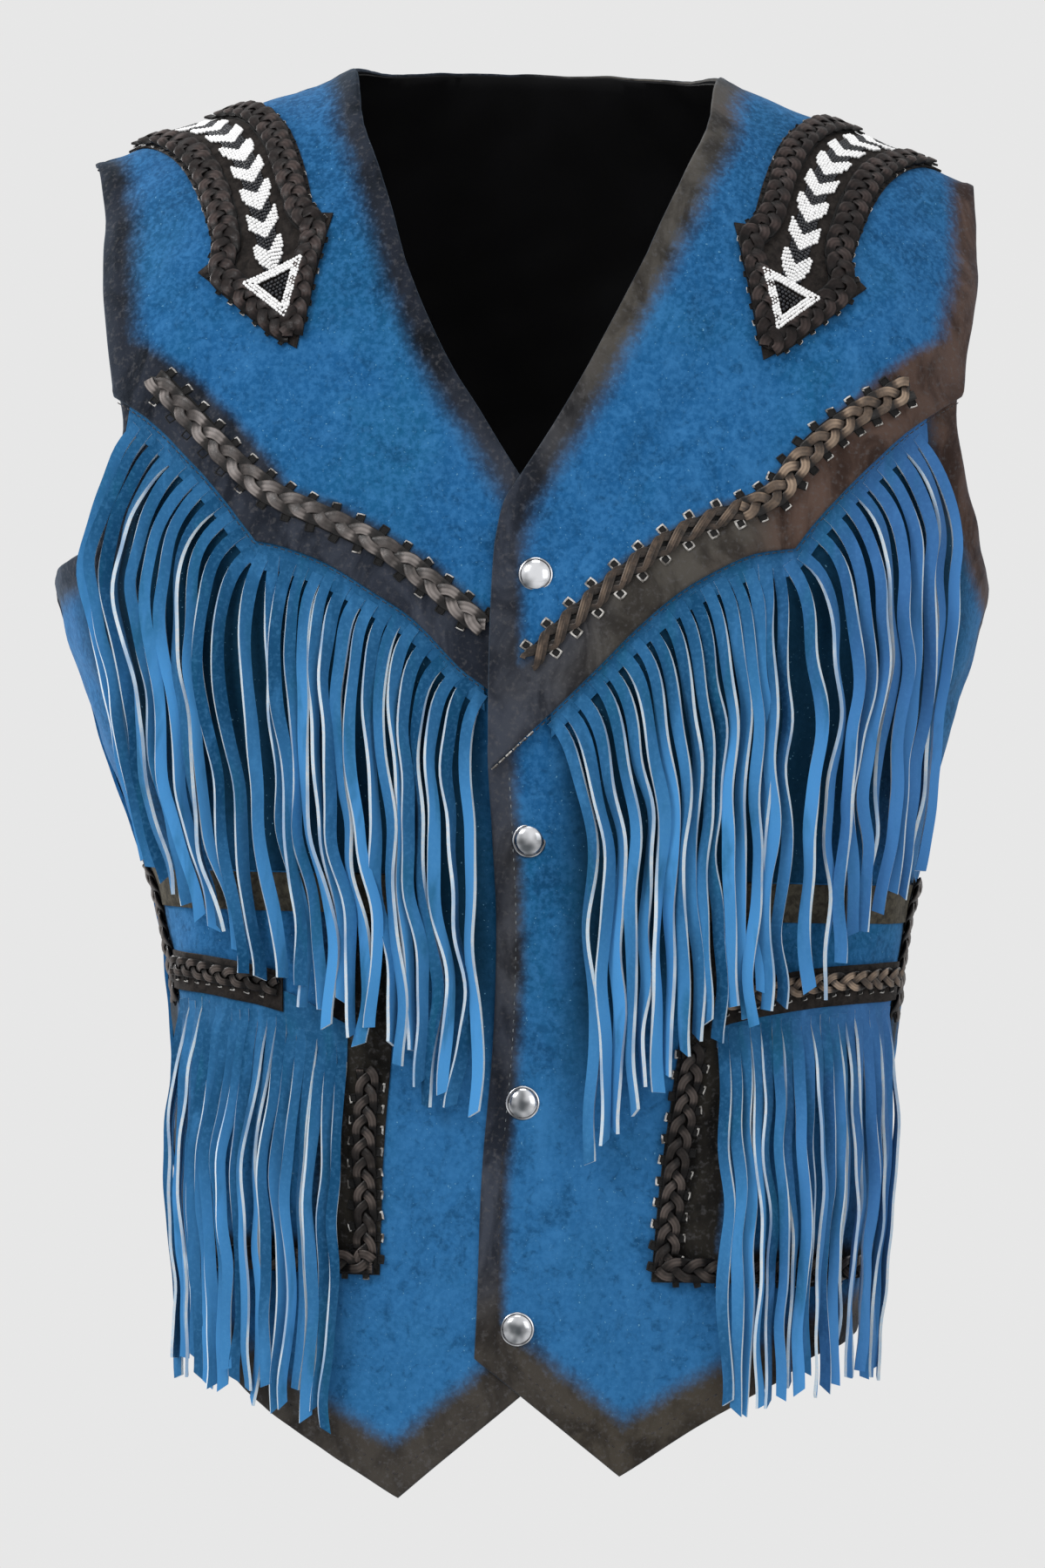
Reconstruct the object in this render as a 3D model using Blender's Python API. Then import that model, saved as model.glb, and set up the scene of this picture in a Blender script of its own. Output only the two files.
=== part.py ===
"""A fringed western vest in suede, as worn, in metres with +Z up and the wearer facing -Y.

The cloth is cut from one hollow form. A point of the form is named by a cloth place (across, up): across is the
length round the body from the centre front, towards the wearer's left, and up is the height, measured along the
cloth where it rolls over the shoulder. Every piece is laid on the form with a lift, its distance out from it.
"""

import bisect
import math
import random

import bpy
import numpy as np
from mathutils import Vector
from mathutils.geometry import delaunay_2d_cdt, interpolate_bezier

# Form of the body, outer side of the wearer. Heights are from the neck point of the shoulder seam.
SECTION_COLUMNS = ("height", "half_width", "shift", "front", "back")
SECTIONS = [
    (-0.700, 0.1590, 0.0100, 0.119, 0.112),
    (-0.592, 0.1630, 0.0100, 0.119, 0.110),
    (-0.525, 0.1712, 0.0085, 0.118, 0.106),
    (-0.462, 0.1755, 0.0100, 0.117, 0.102),
    (-0.407, 0.1818, 0.0085, 0.118, 0.103),
    (-0.365, 0.1922, 0.0046, 0.121, 0.109),
    (-0.323, 0.2036, 0.0005, 0.124, 0.116),
    (-0.251, 0.2228, -0.0020, 0.125, 0.126),
    (-0.200, 0.2230, -0.0010, 0.120, 0.129),
    (-0.150, 0.2210, 0.0, 0.112, 0.126),
    (-0.100, 0.2180, 0.0, 0.101, 0.116),
    (-0.050, 0.2150, 0.0, 0.086, 0.100),
    (0.000, 0.2080, 0.0, 0.074, 0.082),
    (0.100, 0.2000, 0.0, 0.070, 0.070),
]
ROUNDNESS = 2.5
# Height of the shoulder ridge by distance from the centre.
RIDGE = [(0.0, 0.048), (0.045, 0.032), (0.090, -0.001), (0.150, -0.025), (0.212, -0.050), (0.250, -0.066)]
ROLL_DROP = 0.120
ROLL_RUN = 0.165

# Soft folds: place across, half width, depth (out is positive), and the heights where each fades in and out.
FOLD_COLUMNS = ("across", "half_width", "depth", "foot", "head")
FOLDS = [
    (-0.075, 0.045, -0.0030, -0.75, -0.42),
    (-0.020, 0.035, 0.0020, -0.75, -0.48),
    (0.060, 0.040, -0.0032, -0.75, -0.40),
    (0.115, 0.040, 0.0022, -0.75, -0.44),
    (-0.150, 0.040, 0.0024, -0.75, -0.44),
    (0.235, 0.050, -0.0040, -0.47, -0.28),
    (-0.235, 0.050, -0.0040, -0.47, -0.28),
    (0.330, 0.050, 0.0040, -0.75, -0.35),
    (0.410, 0.045, -0.0045, -0.72, -0.30),
    (0.480, 0.045, 0.0030, -0.70, -0.25),
    (0.555, 0.050, -0.0040, -0.74, -0.32),
    (0.640, 0.050, 0.0035, -0.75, -0.38),
]

# Cloth and leather sizes.
WALL = 0.0016
GAP = 0.0003
TRIM = 0.0012
FRINGE = 0.0012
LINING_THICKNESS = 0.0008
FRONT_LATTICE = 0.033
BACK_LATTICE = 0.040
SEAT = 0.0008
YOKE_BRAID_SEAT = {-1: 0.0014, 1: 0.0005}
SHOULDER_SEAM = 0.0014
SEAM_ALLOWANCE = 0.010
SIDE_NAMES = {-1: "right", 1: "left"}

# Front outlines as (distance to the wearer's left, height), by side: -1 is the wearer's right.
NECK_POINT = 0.0895
SHOULDER_TIP = 0.2120
NECKLINE = {
    -1: [(-0.0835, -0.0235), (-0.0741, -0.052), (-0.065, -0.0805), (-0.0475, -0.128), (-0.036, -0.150),
         (-0.0228, -0.170), (-0.0038, -0.1994), (0.012, -0.222), (0.022, -0.250)],
    1: [(0.083, -0.0225), (0.0716, -0.051), (0.0562, -0.087), (0.041, -0.120), (0.026, -0.150),
        (0.0111, -0.177), (-0.0037, -0.201), (-0.0105, -0.213), (-0.014, -0.232)],
}
FRONT_ARMHOLE = {
    -1: [(-0.2026, -0.091), (-0.1978, -0.130), (-0.1935, -0.160), (-0.1903, -0.180), (-0.1930, -0.198),
         (-0.2000, -0.2200), (-0.2090, -0.2380)],
    1: [(0.2110, -0.083), (0.2048, -0.126), (0.2016, -0.157), (0.2030, -0.177), (0.2105, -0.2056),
        (0.2180, -0.232)],
}
BACK_ARMHOLE = [(0.205, -0.085), (0.200, -0.125), (0.198, -0.160), (0.2005, -0.190), (0.207, -0.218),
                (0.2145, -0.238)]
UNDERARM = -0.252
BACK_NECK = [(0.075, 0.0015), (0.050, 0.005), (0.0, 0.007), (-0.050, 0.005), (-0.075, 0.0015)]
SIDE_HEM = -0.5925
FRONT_EDGE = {-1: 0.022, 1: -0.014}
HEM_FOOT = {-1: -0.614, 1: -0.610}
HEM_POINT = {-1: (-0.0489, -0.6764), 1: (0.0542, -0.6635)}
HEM_RISE = {
    -1: [(-0.0839, -0.656), (-0.1091, -0.639), (-0.135, -0.617)],
    1: [(0.0989, -0.6345), (0.1248, -0.6204), (0.1484, -0.6073)],
}

# Lower edge of the yoke, from the armhole to past the centre, with its cusp.
YOKE_OUTER = {
    -1: [(-0.1928, -0.1650), (-0.1778, -0.1745), (-0.1641, -0.1868), (-0.1438, -0.2082), (-0.1246, -0.2325)],
    1: [(0.2010, -0.1545), (0.186, -0.165), (0.1677, -0.180), (0.1379, -0.2116), (0.124, -0.230)],
}
YOKE_INNER = {
    -1: [(-0.1246, -0.2325), (-0.1117, -0.2350), (-0.0911, -0.2425), (-0.0706, -0.2545), (-0.0503, -0.2675),
         (-0.0294, -0.2885), (-0.017, -0.2977), (0.022, -0.327)],
    1: [(0.124, -0.230), (0.1056, -0.233), (0.0886, -0.241), (0.0702, -0.2525), (0.052, -0.2685),
        (0.0338, -0.2877), (0.0141, -0.308), (-0.014, -0.335)],
}
# Middle of the braid laced above that edge.
YOKE_BRAID = {
    -1: [(-0.1714, -0.1593), (-0.1537, -0.1774), (-0.1354, -0.1968), (-0.1143, -0.2125), (-0.0843, -0.2255),
         (-0.0645, -0.2352), (-0.0438, -0.2505), (-0.0205, -0.2683)],
    1: [(0.1728, -0.1541), (0.1439, -0.1721), (0.1253, -0.1901), (0.1134, -0.2065), (0.0832, -0.2195),
        (0.0656, -0.2293), (0.0425, -0.247), (0.0195, -0.268), (0.0073, -0.281)],
}

# Arrow on each shoulder: its tail on the shoulder ridge, its tip, and its outline as (from the tip, half width).
ARROW_TAIL = 0.173
ARROW_TIP = (0.109, -0.142)
ARROW_BARB = (0.052, 0.030)
ARROW_NOTCH = (0.056, 0.0215)
ARROW_LACE = 0.009
BEAD_HALF_WIDTH = 0.0085
BEAD_HEAD = (0.0195, 0.039, 0.0114)

# Pocket, by distance out from the body's centre line.
POCKET_TOP = -0.386
POCKET_SIDE = 0.020
POCKET_INNER_TOP = {-1: 0.0645, 1: 0.0780}
POCKET_INNER_FOOT = {-1: 0.0650, 1: 0.0620}
POCKET_FOOT = -0.573
POCKET_BAND_DEPTH = 0.018
STRIP_LINE = {
    -1: [(0.0765, -0.4692), (0.0859, -0.4643), (0.1085, -0.4524), (0.1400, -0.4455), (0.160, -0.4430)],
    1: [(0.084, -0.4560), (0.0950, -0.4515), (0.1204, -0.4460), (0.1450, -0.4425), (0.160, -0.4405)],
}
STRIP_DEPTH = 0.018
STRIP_END = {-1: 0.111, 1: 0.085}
EDGE_BRAID_TOP = {-1: (0.0722, -0.4860), 1: (0.0787, -0.4625)}
BODY_SHIFT_AT_POCKET = 0.005

# Fringe, as (strand count, strand length, strand width).
CHEST_STRANDS = 28
CHEST_STRAND_LENGTH = 0.200
CHEST_STRAND_WIDTH = 0.0052
POCKET_STRANDS = 20
POCKET_STRAND_LENGTH = 0.170
POCKET_STRAND_WIDTH = 0.0040
FRINGE_ROOT = 0.012
STRAND_RINGS = 4
STRAND_WAVE = 0.0020
STRAND_WAVE_LENGTH = 0.085

BRAID_WIDTH = 0.0130
BRAID_PITCH = 0.0105
BRAID_HEIGHT = 0.0030

SNAP_ACROSS = 0.005
SNAP_HEIGHTS = [-0.246, -0.3685, -0.491, -0.596]
SNAP_RADIUS = 0.0077
SNAP_RISE = 0.0034
SNAP_SEGMENTS = 20

SUEDE = ("suede_blue", (0.045, 0.20, 0.46), 0.95, 0.0)
BROWN = ("leather_brown", (0.055, 0.040, 0.036), 0.7, 0.0)
LACE = ("lace_brown", (0.10, 0.070, 0.055), 0.45, 0.0)
LINING = ("lining_black", (0.010, 0.010, 0.012), 0.6, 0.0)
BEADS = ("beads_white", (0.85, 0.85, 0.83), 0.3, 0.0)
METAL = ("snap_metal", (0.82, 0.82, 0.84), 0.2, 1.0)


def clear_scene():
    for obj in list(bpy.data.objects):
        bpy.data.objects.remove(obj, do_unlink=True)


def material(spec):
    """The Principled material of a (name, colour, roughness, metallic) spec, made once."""
    name, colour, roughness, metallic = spec
    made = bpy.data.materials.get(name)
    if made is None:
        made = bpy.data.materials.new(name)
        made.use_nodes = True
        shader = made.node_tree.nodes["Principled BSDF"]
        shader.inputs["Base Color"].default_value = (*colour, 1.0)
        shader.inputs["Roughness"].default_value = roughness
        shader.inputs["Metallic"].default_value = metallic
    return made


class Curve:
    """A smooth curve y(x) through rows of (x, y), in rising x."""

    def __init__(self, rows):
        rows = sorted(rows)
        self.x = [row[0] for row in rows]
        self.y = [row[1] for row in rows]
        last = len(rows) - 1
        self.slope = []
        for i in range(len(rows)):
            low, high = max(i - 1, 0), min(i + 1, last)
            self.slope.append((self.y[high] - self.y[low]) / (self.x[high] - self.x[low]))

    def __call__(self, x):
        x = min(max(x, self.x[0]), self.x[-1])
        i = min(max(bisect.bisect_right(self.x, x) - 1, 0), len(self.x) - 2)
        run = self.x[i + 1] - self.x[i]
        t = (x - self.x[i]) / run
        start = (2 * t**3 - 3 * t**2 + 1) * self.y[i] + (t**3 - 2 * t**2 + t) * run * self.slope[i]
        end = (3 * t**2 - 2 * t**3) * self.y[i + 1] + (t**3 - t**2) * run * self.slope[i + 1]
        return start + end


def column(name):
    """The curve of one column of SECTIONS by height."""
    index = SECTION_COLUMNS.index(name)
    return Curve([(row[0], row[index]) for row in SECTIONS])


half_width = column("half_width")
shift = column("shift")
front_depth = column("front")
back_depth = column("back")
ridge_curve = Curve(RIDGE)


def ramp(value, start, end):
    """0 before start, 1 after end, and smooth between them."""
    t = min(max((value - start) / (end - start), 0.0), 1.0)
    return t * t * (3 - 2 * t)


def section_radius(angle, wide, deep):
    side = abs(math.sin(angle)) / wide
    ahead = abs(math.cos(angle)) / deep
    return (side**ROUNDNESS + ahead**ROUNDNESS) ** (-1 / ROUNDNESS)


def length_table():
    """Angles round a middle section and the length round it to each, from the centre front."""
    wide, front, back = half_width(-0.35), front_depth(-0.35), back_depth(-0.35)
    angles = np.radians(np.arange(-90.0, 270.5, 0.5))
    radii = [section_radius(a, wide, front if math.cos(a) > 0 else back) for a in angles]
    points = np.array([(r * math.sin(a), -r * math.cos(a)) for a, r in zip(angles, radii)])
    steps = np.linalg.norm(np.diff(points, axis=0), axis=1)
    lengths = np.concatenate([[0.0], np.cumsum(steps)])
    return angles, lengths - np.interp(0.0, angles, lengths)


ANGLES, LENGTHS = length_table()
SIDE_SEAM = float(np.interp(math.pi / 2, ANGLES, LENGTHS))
FAR_SIDE_SEAM = float(LENGTHS[-1])


def ridge(x):
    return ridge_curve(abs(x))


def fold_depth(across, height):
    """How far the soft folds push the cloth out."""
    total = 0.0
    for place, half, depth, foot, head in FOLDS:
        aside = abs(across - place) / half
        if aside < 1:
            total += depth * (1 - aside * aside) ** 2 * (1 - ramp(height, foot + 0.6 * (head - foot), head))
    return total


def form(across, up):
    """The point of the bare form at a cloth place."""
    angle = float(np.interp(across, LENGTHS, ANGLES))
    height, roll = up, 1.0
    for _ in range(4):
        deep = front_depth(height) if math.cos(angle) > 0 else back_depth(height)
        radius = section_radius(angle, half_width(height), deep)
        x = radius * math.sin(angle)
        start = ridge(x) - ROLL_DROP
        if up > start:
            turn = (math.pi / 2) * (1 - (up - start) / ROLL_RUN)
            height = start + ROLL_DROP * math.cos(turn)
            roll = math.sin(turn)
    return Vector((x + shift(height), -radius * math.cos(angle) * roll, height))


def out_of_form(across, up):
    """The form's outward normal at a cloth place."""
    step = 0.002
    along = form(across + step, up) - form(across - step, up)
    rise = form(across, up + step) - form(across, up - step)
    return along.cross(rise).normalized()


def smooth_form(across, up):
    """The form with its folds."""
    point = form(across, up)
    return point + out_of_form(across, up) * fold_depth(across, point.z)


def cloth_place(x, height, behind=False):
    """The cloth place of the point of the front, or of the back, seen at (x, height)."""
    x = x - shift(height)
    deep = back_depth(height) if behind else front_depth(height)
    share = min(abs(x) / half_width(height), 1.0)
    ahead = deep * (1 - share**ROUNDNESS) ** (1 / ROUNDNESS)
    angle = math.atan2(x, -ahead if behind else ahead)
    if behind and angle < 0:
        angle += 2 * math.pi
    drop = ridge(x) - height
    up = height
    if drop < ROLL_DROP:
        turn = math.acos(min(max(1 - drop / ROLL_DROP, -1.0), 1.0))
        up = ridge(x) - ROLL_DROP + ROLL_RUN * (1 - turn / (math.pi / 2))
    return float(np.interp(angle, ANGLES, LENGTHS)), up


def shoulder_place(x, behind=False):
    """The cloth place at the shoulder seam, just short of the ridge."""
    across, up = cloth_place(x, ridge(x), behind)
    return across, up - SHOULDER_SEAM


class Lattice:
    """The form as flat triangles between evenly spaced cloth places, so that all layers share its facets."""

    def __init__(self, first, last, low, high, cell):
        self.columns = np.linspace(first, last, round((last - first) / cell) + 1).tolist()
        self.rows = np.linspace(low, high, round((high - low) / cell) + 1).tolist()
        self.points = [[smooth_form(a, u) for u in self.rows] for a in self.columns]
        self.normals = [[out_of_form(a, u) for u in self.rows] for a in self.columns]

    def corners(self, across, up):
        """The three lattice nodes round a place and their shares."""
        wide = self.columns[1] - self.columns[0]
        tall = self.rows[1] - self.rows[0]
        i = min(max(int((across - self.columns[0]) / wide), 0), len(self.columns) - 2)
        j = min(max(int((up - self.rows[0]) / tall), 0), len(self.rows) - 2)
        a = (across - self.columns[i]) / wide
        b = (up - self.rows[j]) / tall
        if a > b:
            return ((i, j, 1 - a), (i + 1, j, a - b), (i + 1, j + 1, b))
        return ((i, j, 1 - b), (i, j + 1, b - a), (i + 1, j + 1, a))

    def lay(self, across, up, lift):
        """The point at a cloth place, lifted. lift is a function of a place, read at the nodes, or a number."""
        point, normal, raised = Vector(), Vector(), 0.0
        for i, j, share in self.corners(across, up):
            point += share * self.points[i][j]
            normal += share * self.normals[i][j]
            raised += share * (lift(self.columns[i], self.rows[j]) if callable(lift) else lift)
        return point + normal.normalized() * raised

    def grid(self, low, high):
        """The lattice's nodes and edges within a box of cloth places, one cell wider all round."""
        wide = self.columns[1] - self.columns[0]
        tall = self.rows[1] - self.rows[0]
        columns = [i for i, a in enumerate(self.columns) if low[0] - wide <= a <= high[0] + wide]
        rows = [j for j, u in enumerate(self.rows) if low[1] - tall <= u <= high[1] + tall]
        index = {}
        places = []
        for i in columns:
            for j in rows:
                index[i, j] = len(places)
                places.append((self.columns[i], self.rows[j]))
        edges = []
        for (i, j), here in index.items():
            for neighbour in ((i + 1, j), (i, j + 1), (i + 1, j + 1)):
                if neighbour in index:
                    edges.append((here, index[neighbour]))
        return places, edges


def mesh_object(name, points, faces, spec, smooth=True):
    """A named object of these points and faces, in the row's frame."""
    mesh = bpy.data.meshes.new(name)
    mesh.from_pydata([tuple(p) for p in points], [], faces)
    mesh.validate()
    if smooth:
        mesh.shade_smooth()
        mesh.set_sharp_from_angle(angle=math.radians(40))
    mesh.materials.append(material(spec))
    obj = bpy.data.objects.new(name, mesh)
    bpy.context.scene.collection.objects.link(obj)
    return obj


def inside(polygon, x, y):
    """Whether a point lies in a polygon."""
    found = False
    for (x0, y0), (x1, y1) in zip(polygon, polygon[1:] + polygon[:1]):
        if (y0 > y) != (y1 > y) and x < x0 + (y - y0) * (x1 - x0) / (y1 - y0):
            found = not found
    return found


def cut_cloth(name, lattice, outline, lift, thickness, spec):
    """A closed wall over the outline, a ring of cloth places. Its facets follow the lattice."""
    outline = [(float(a), float(u)) for a, u in outline]
    low = [min(p[k] for p in outline) for k in (0, 1)]
    high = [max(p[k] for p in outline) for k in (0, 1)]
    grid, edges = lattice.grid(low, high)
    count = len(outline)
    places = [Vector(p) for p in list(outline) + grid]
    edges = [(i, (i + 1) % count) for i in range(count)] + [(a + count, b + count) for a, b in edges]
    flat, _, triangles, _, _, _ = delaunay_2d_cdt(places, edges, [], 0, 2e-4)
    kept = []
    for triangle in triangles:
        middle = sum((flat[i] for i in triangle), Vector((0, 0))) / 3
        if inside(outline, middle.x, middle.y):
            kept.append(tuple(triangle))
    used = sorted({i for triangle in kept for i in triangle})
    renumber = {old: new for new, old in enumerate(used)}
    kept = [tuple(renumber[i] for i in triangle) for triangle in kept]
    total = len(used)
    inner = [lattice.lay(*flat[i], lift) for i in used]
    outer_lift = (lambda a, u: lift(a, u) + thickness) if callable(lift) else lift + thickness
    outer = [lattice.lay(*flat[i], outer_lift) for i in used]
    border = {}
    for a, b, c in kept:
        for edge in ((a, b), (b, c), (c, a)):
            border[edge] = True
    faces = [(a + total, b + total, c + total) for a, b, c in kept]
    faces += [(c, b, a) for a, b, c in kept]
    for a, b in border:
        if (b, a) not in border:
            faces.append((a, b, b + total, a + total))
    return mesh_object(name, inner + outer, faces, spec)


def spaced(points, step):
    """The same line with points a step apart, its corners kept."""
    result = [tuple(points[0])]
    for (x0, y0), (x1, y1) in zip(points, points[1:]):
        parts = max(1, round(math.hypot(x1 - x0, y1 - y0) / step))
        result += [(x0 + (x1 - x0) * k / parts, y0 + (y1 - y0) * k / parts) for k in range(1, parts + 1)]
    return result


def curved(points, per_span=3):
    """A smooth line through points."""
    ends = [Vector((*p, 0)) for p in points]
    result = [tuple(points[0])]
    for i in range(len(ends) - 1):
        before = ends[max(i - 1, 0)]
        after = ends[min(i + 2, len(ends) - 1)]
        first = ends[i] + (ends[i + 1] - before) / 6
        second = ends[i + 1] - (after - ends[i]) / 6
        line = interpolate_bezier(ends[i], first, second, ends[i + 1], per_span + 1)
        result += [(p.x, p.y) for p in line[1:]]
    return result


def on_front(points):
    return [cloth_place(x, z) for x, z in points]


def on_back(points):
    return [cloth_place(x, z, behind=True) for x, z in points]


def mirrored(points):
    return [(-x, z) for x, z in points]


def sided(points, side):
    return points if side > 0 else mirrored(points)


def yoke_edge(side):
    """The yoke's lower edge from the armhole to the front edge, as (x, height)."""
    return curved(YOKE_OUTER[side], 2) + curved(YOKE_INNER[side], 2)[1:]


def yoke_height(side):
    """The yoke edge's height by place across."""
    return Curve([cloth_place(x, z) for x, z in YOKE_OUTER[side] + YOKE_INNER[side][1:]])


YOKE_HEIGHT = {side: yoke_height(side) for side in (-1, 1)}
LAP = WALL + FRINGE + SEAT * 2


def yoke_lap(side, across, up):
    """How far the yoke stands up to clear the fringe and the lower front under its edge."""
    above = up - YOKE_HEIGHT[side](across)
    return LAP * (1 - ramp(above, 0.042, 0.085))


def front_lap(across, up):
    """How far the left front stands up to pass over the right one, and over the right yoke's edge."""
    above = up - YOKE_HEIGHT[-1](across)
    under = WALL + GAP + LAP * ramp(above, -0.070, -0.032) * (1 - ramp(above, 0.050, 0.095))
    return under * (1 - ramp(across, FRONT_EDGE[-1] + 0.028, FRONT_EDGE[-1] + 0.062))


def lower_lift(side):
    return (lambda a, u: 0.0) if side < 0 else front_lap


def yoke_lift(side):
    base = lower_lift(side)
    return lambda a, u: base(a, u) + yoke_lap(side, a, u)


def raised(lift, extra):
    return lambda a, u: lift(a, u) + extra


def front_armhole(side):
    """The armhole edge of the front from the shoulder tip to the underarm, as cloth places."""
    places = [shoulder_place(side * SHOULDER_TIP)] + on_front(FRONT_ARMHOLE[side])
    places.append((side * (SIDE_SEAM - GAP / 2), UNDERARM))
    return curved(places, 2)


def back_armhole(side, margin):
    places = [shoulder_place(side * SHOULDER_TIP, behind=True)] + on_back(sided(BACK_ARMHOLE, side))
    seam = SIDE_SEAM + margin if side > 0 else FAR_SIDE_SEAM - margin
    places.append((seam, UNDERARM))
    return curved(places, 2)


def hem(side):
    """The hem of a front from its front edge, round its point, to the side seam, as cloth places."""
    point = cloth_place(*HEM_POINT[side])
    start = cloth_place(FRONT_EDGE[side], HEM_FOOT[side])
    seam = (side * (SIDE_SEAM - GAP / 2), SIDE_HEM)
    rise = curved([point] + on_front(HEM_RISE[side]) + [seam], 2)
    return spaced([start, point], 0.03)[:-1] + rise


def lower_front(side, lattice):
    """The lower front: its outline runs down the front edge, along the hem, up the side and back under the yoke."""
    name = SIDE_NAMES[side]
    edge = on_front(yoke_edge(side))
    lap = [(a, u + SEAM_ALLOWANCE) for a, u in edge]
    arm = [p for p in front_armhole(side) if p[1] < lap[0][1] - 0.004]
    outline = list(reversed(lap))
    top = outline[0]
    foot = hem(side)
    centre = spaced([top, foot[0]], 0.05)[1:-1]
    ring = list(reversed(centre)) + outline + arm + list(reversed(foot))
    return cut_cloth(f"front_{name}", lattice, ring, lower_lift(side), WALL, SUEDE)


def yoke(side, lattice):
    """The upper front: neckline, shoulder seam, armhole and the pointed lower edge."""
    name = SIDE_NAMES[side]
    edge = on_front(yoke_edge(side))
    neck = curved([shoulder_place(side * NECK_POINT)] + on_front(NECKLINE[side]), 2)
    shoulder = [shoulder_place(side * x) for x in np.linspace(NECK_POINT, SHOULDER_TIP, 6)]
    arm = [p for p in front_armhole(side) if p[1] > edge[0][1] + 0.004]
    ring = edge + list(reversed(neck))[:-1] + shoulder + arm[1:]
    return cut_cloth(f"yoke_{name}", lattice, ring, yoke_lift(side), WALL, SUEDE)


def back_outline(inset=0.0):
    """The ring of the back: hem, both sides, armholes, shoulders and neck. inset draws hem and seams in."""
    margin = GAP / 2 + inset / 2
    left, right = back_armhole(1, margin), back_armhole(-1, margin)
    low = SIDE_HEM + inset
    hem_line = spaced([(SIDE_SEAM + margin, low), (FAR_SIDE_SEAM - margin, low)], 0.05)
    xs = np.linspace(SHOULDER_TIP, NECK_POINT, 6)
    left_shoulder = [shoulder_place(x, behind=True) for x in xs]
    right_shoulder = [shoulder_place(-x, behind=True) for x in reversed(xs)]
    left[0], right[0] = left_shoulder[0], right_shoulder[-1]
    if inset:
        left_shoulder = [(a, u - inset) for a, u in left_shoulder]
        right_shoulder = [(a, u - inset) for a, u in right_shoulder]
        left[0], right[0] = left_shoulder[0], right_shoulder[-1]
    neck = curved([left_shoulder[-1]] + on_back(BACK_NECK) + [right_shoulder[0]], 2)
    ring = hem_line + list(reversed(right)) + list(reversed(right_shoulder))[1:-1]
    ring += list(reversed(neck)) + list(reversed(left_shoulder))[1:-1] + left
    return ring


def fringe(name, lattice, top, drop, count, length, width, lift, hang, seed):
    """A backing strip under a seam line, cut into strands below. top is the seam line by place across."""
    rng = random.Random(seed)
    first, last, line = top
    pitch = (last - first) / count
    points, faces = [], []
    columns = []
    for k in range(count):
        middle = first + (k + 0.5) * pitch
        for edge in (-0.5, 0.5):
            across = middle + edge * width
            rows = []
            for up in (line(across) + SEAM_ALLOWANCE - GAP, line(across) - drop):
                for extra in (0.0, FRINGE):
                    rows.append(len(points))
                    points.append(lattice.lay(across, up, raised(lift, extra)))
            columns.append(rows)
    for k, (here, after) in enumerate(zip(columns, columns[1:])):
        top_in, top_out, foot_in, foot_out = here
        next_top_in, next_top_out, next_foot_in, next_foot_out = after
        faces.append((foot_out, next_foot_out, next_top_out, top_out))
        faces.append((next_foot_in, foot_in, top_in, next_top_in))
        faces.append((top_out, next_top_out, next_top_in, top_in))
        if k % 2:
            faces.append((foot_in, next_foot_in, next_foot_out, foot_out))
    start, end = columns[0], columns[-1]
    faces.append((start[2], start[3], start[1], start[0]))
    faces.append((end[3], end[2], end[0], end[1]))
    for k in range(count):
        left, right = columns[2 * k], columns[2 * k + 1]
        ring = [left[2], right[2], right[3], left[3]]
        middle = first + (k + 0.5) * pitch
        reach = length * (1 + rng.uniform(-0.03, 0.03))
        phase = 6.5 * middle / (STRAND_WAVE_LENGTH) + rng.uniform(-0.12, 0.12)
        out = rng.uniform(-0.0012, 0.0012)
        for step in range(1, STRAND_RINGS + 1):
            share = step / STRAND_RINGS
            fall = share * reach
            up = line(middle) - drop - fall
            aside = STRAND_WAVE * math.sin(phase + 2 * math.pi * fall / STRAND_WAVE_LENGTH) * min(1, 2 * share)
            away = hang(share) + out * min(1.0, 2 * share)
            fresh = []
            for edge, extra in ((-0.5, 0), (0.5, 0), (0.5, FRINGE), (-0.5, FRINGE)):
                fresh.append(len(points))
                place = middle + aside + edge * width
                points.append(lattice.lay(place, up, raised(lift, away + extra)))
            for side in range(4):
                other = (side + 1) % 4
                faces.append((ring[other], fresh[other], fresh[side], ring[side]))
            ring = fresh
        faces.append(tuple(ring))
    return mesh_object(name, points, faces, SUEDE, smooth=False)


def braid(name, lattice, path, lift, width=BRAID_WIDTH):
    """A laced braid along a line of cloth places: a strip whose lobes rise and step from side to side."""
    half = width / 2
    rows = []
    corners = [Vector(p) for p in path]
    for i in range(len(corners) - 1):
        start, end = corners[i], corners[i + 1]
        run = (end - start).length
        way = (end - start) / run
        across = Vector((-way.y, way.x))
        before = miter(corners, i)
        after = miter(corners, i + 1)
        first = half * before[1]
        last = run - half * after[1]
        rows.append((start, before[0]))
        steps = max(1, round((last - first) / (BRAID_PITCH / 2)))
        rows += [(start + way * (first + (last - first) * (k + 0.5) / steps), across) for k in range(steps)]
    rows.append((corners[-1], miter(corners, len(corners) - 1)[0]))
    points, faces = [], []
    for index, (middle, across) in enumerate(rows):
        lobe = 1 if index % 2 else -1
        reach = half * (1.0 if index % 2 else 0.84)
        heights = (0.0009, BRAID_HEIGHT * (1.0 if index % 2 else 0.72), 0.0009)
        for share, high in zip((-1.0, 0.28 * lobe, 1.0), heights):
            place = middle + across * reach * share
            points.append(lattice.lay(*place, raised(lift, high)))
        for share in (1.0, -1.0):
            place = middle + across * reach * share
            points.append(lattice.lay(*place, lift))
    for index in range(len(rows) - 1):
        here, after = 5 * index, 5 * (index + 1)
        for side in range(5):
            other = (side + 1) % 5
            faces.append((here + other, here + side, after + side, after + other))
    faces.append(tuple(range(5)))
    last_row = 5 * (len(rows) - 1)
    faces.append(tuple(last_row + k for k in reversed(range(5))))
    return mesh_object(name, points, faces, LACE, smooth=False)


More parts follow.
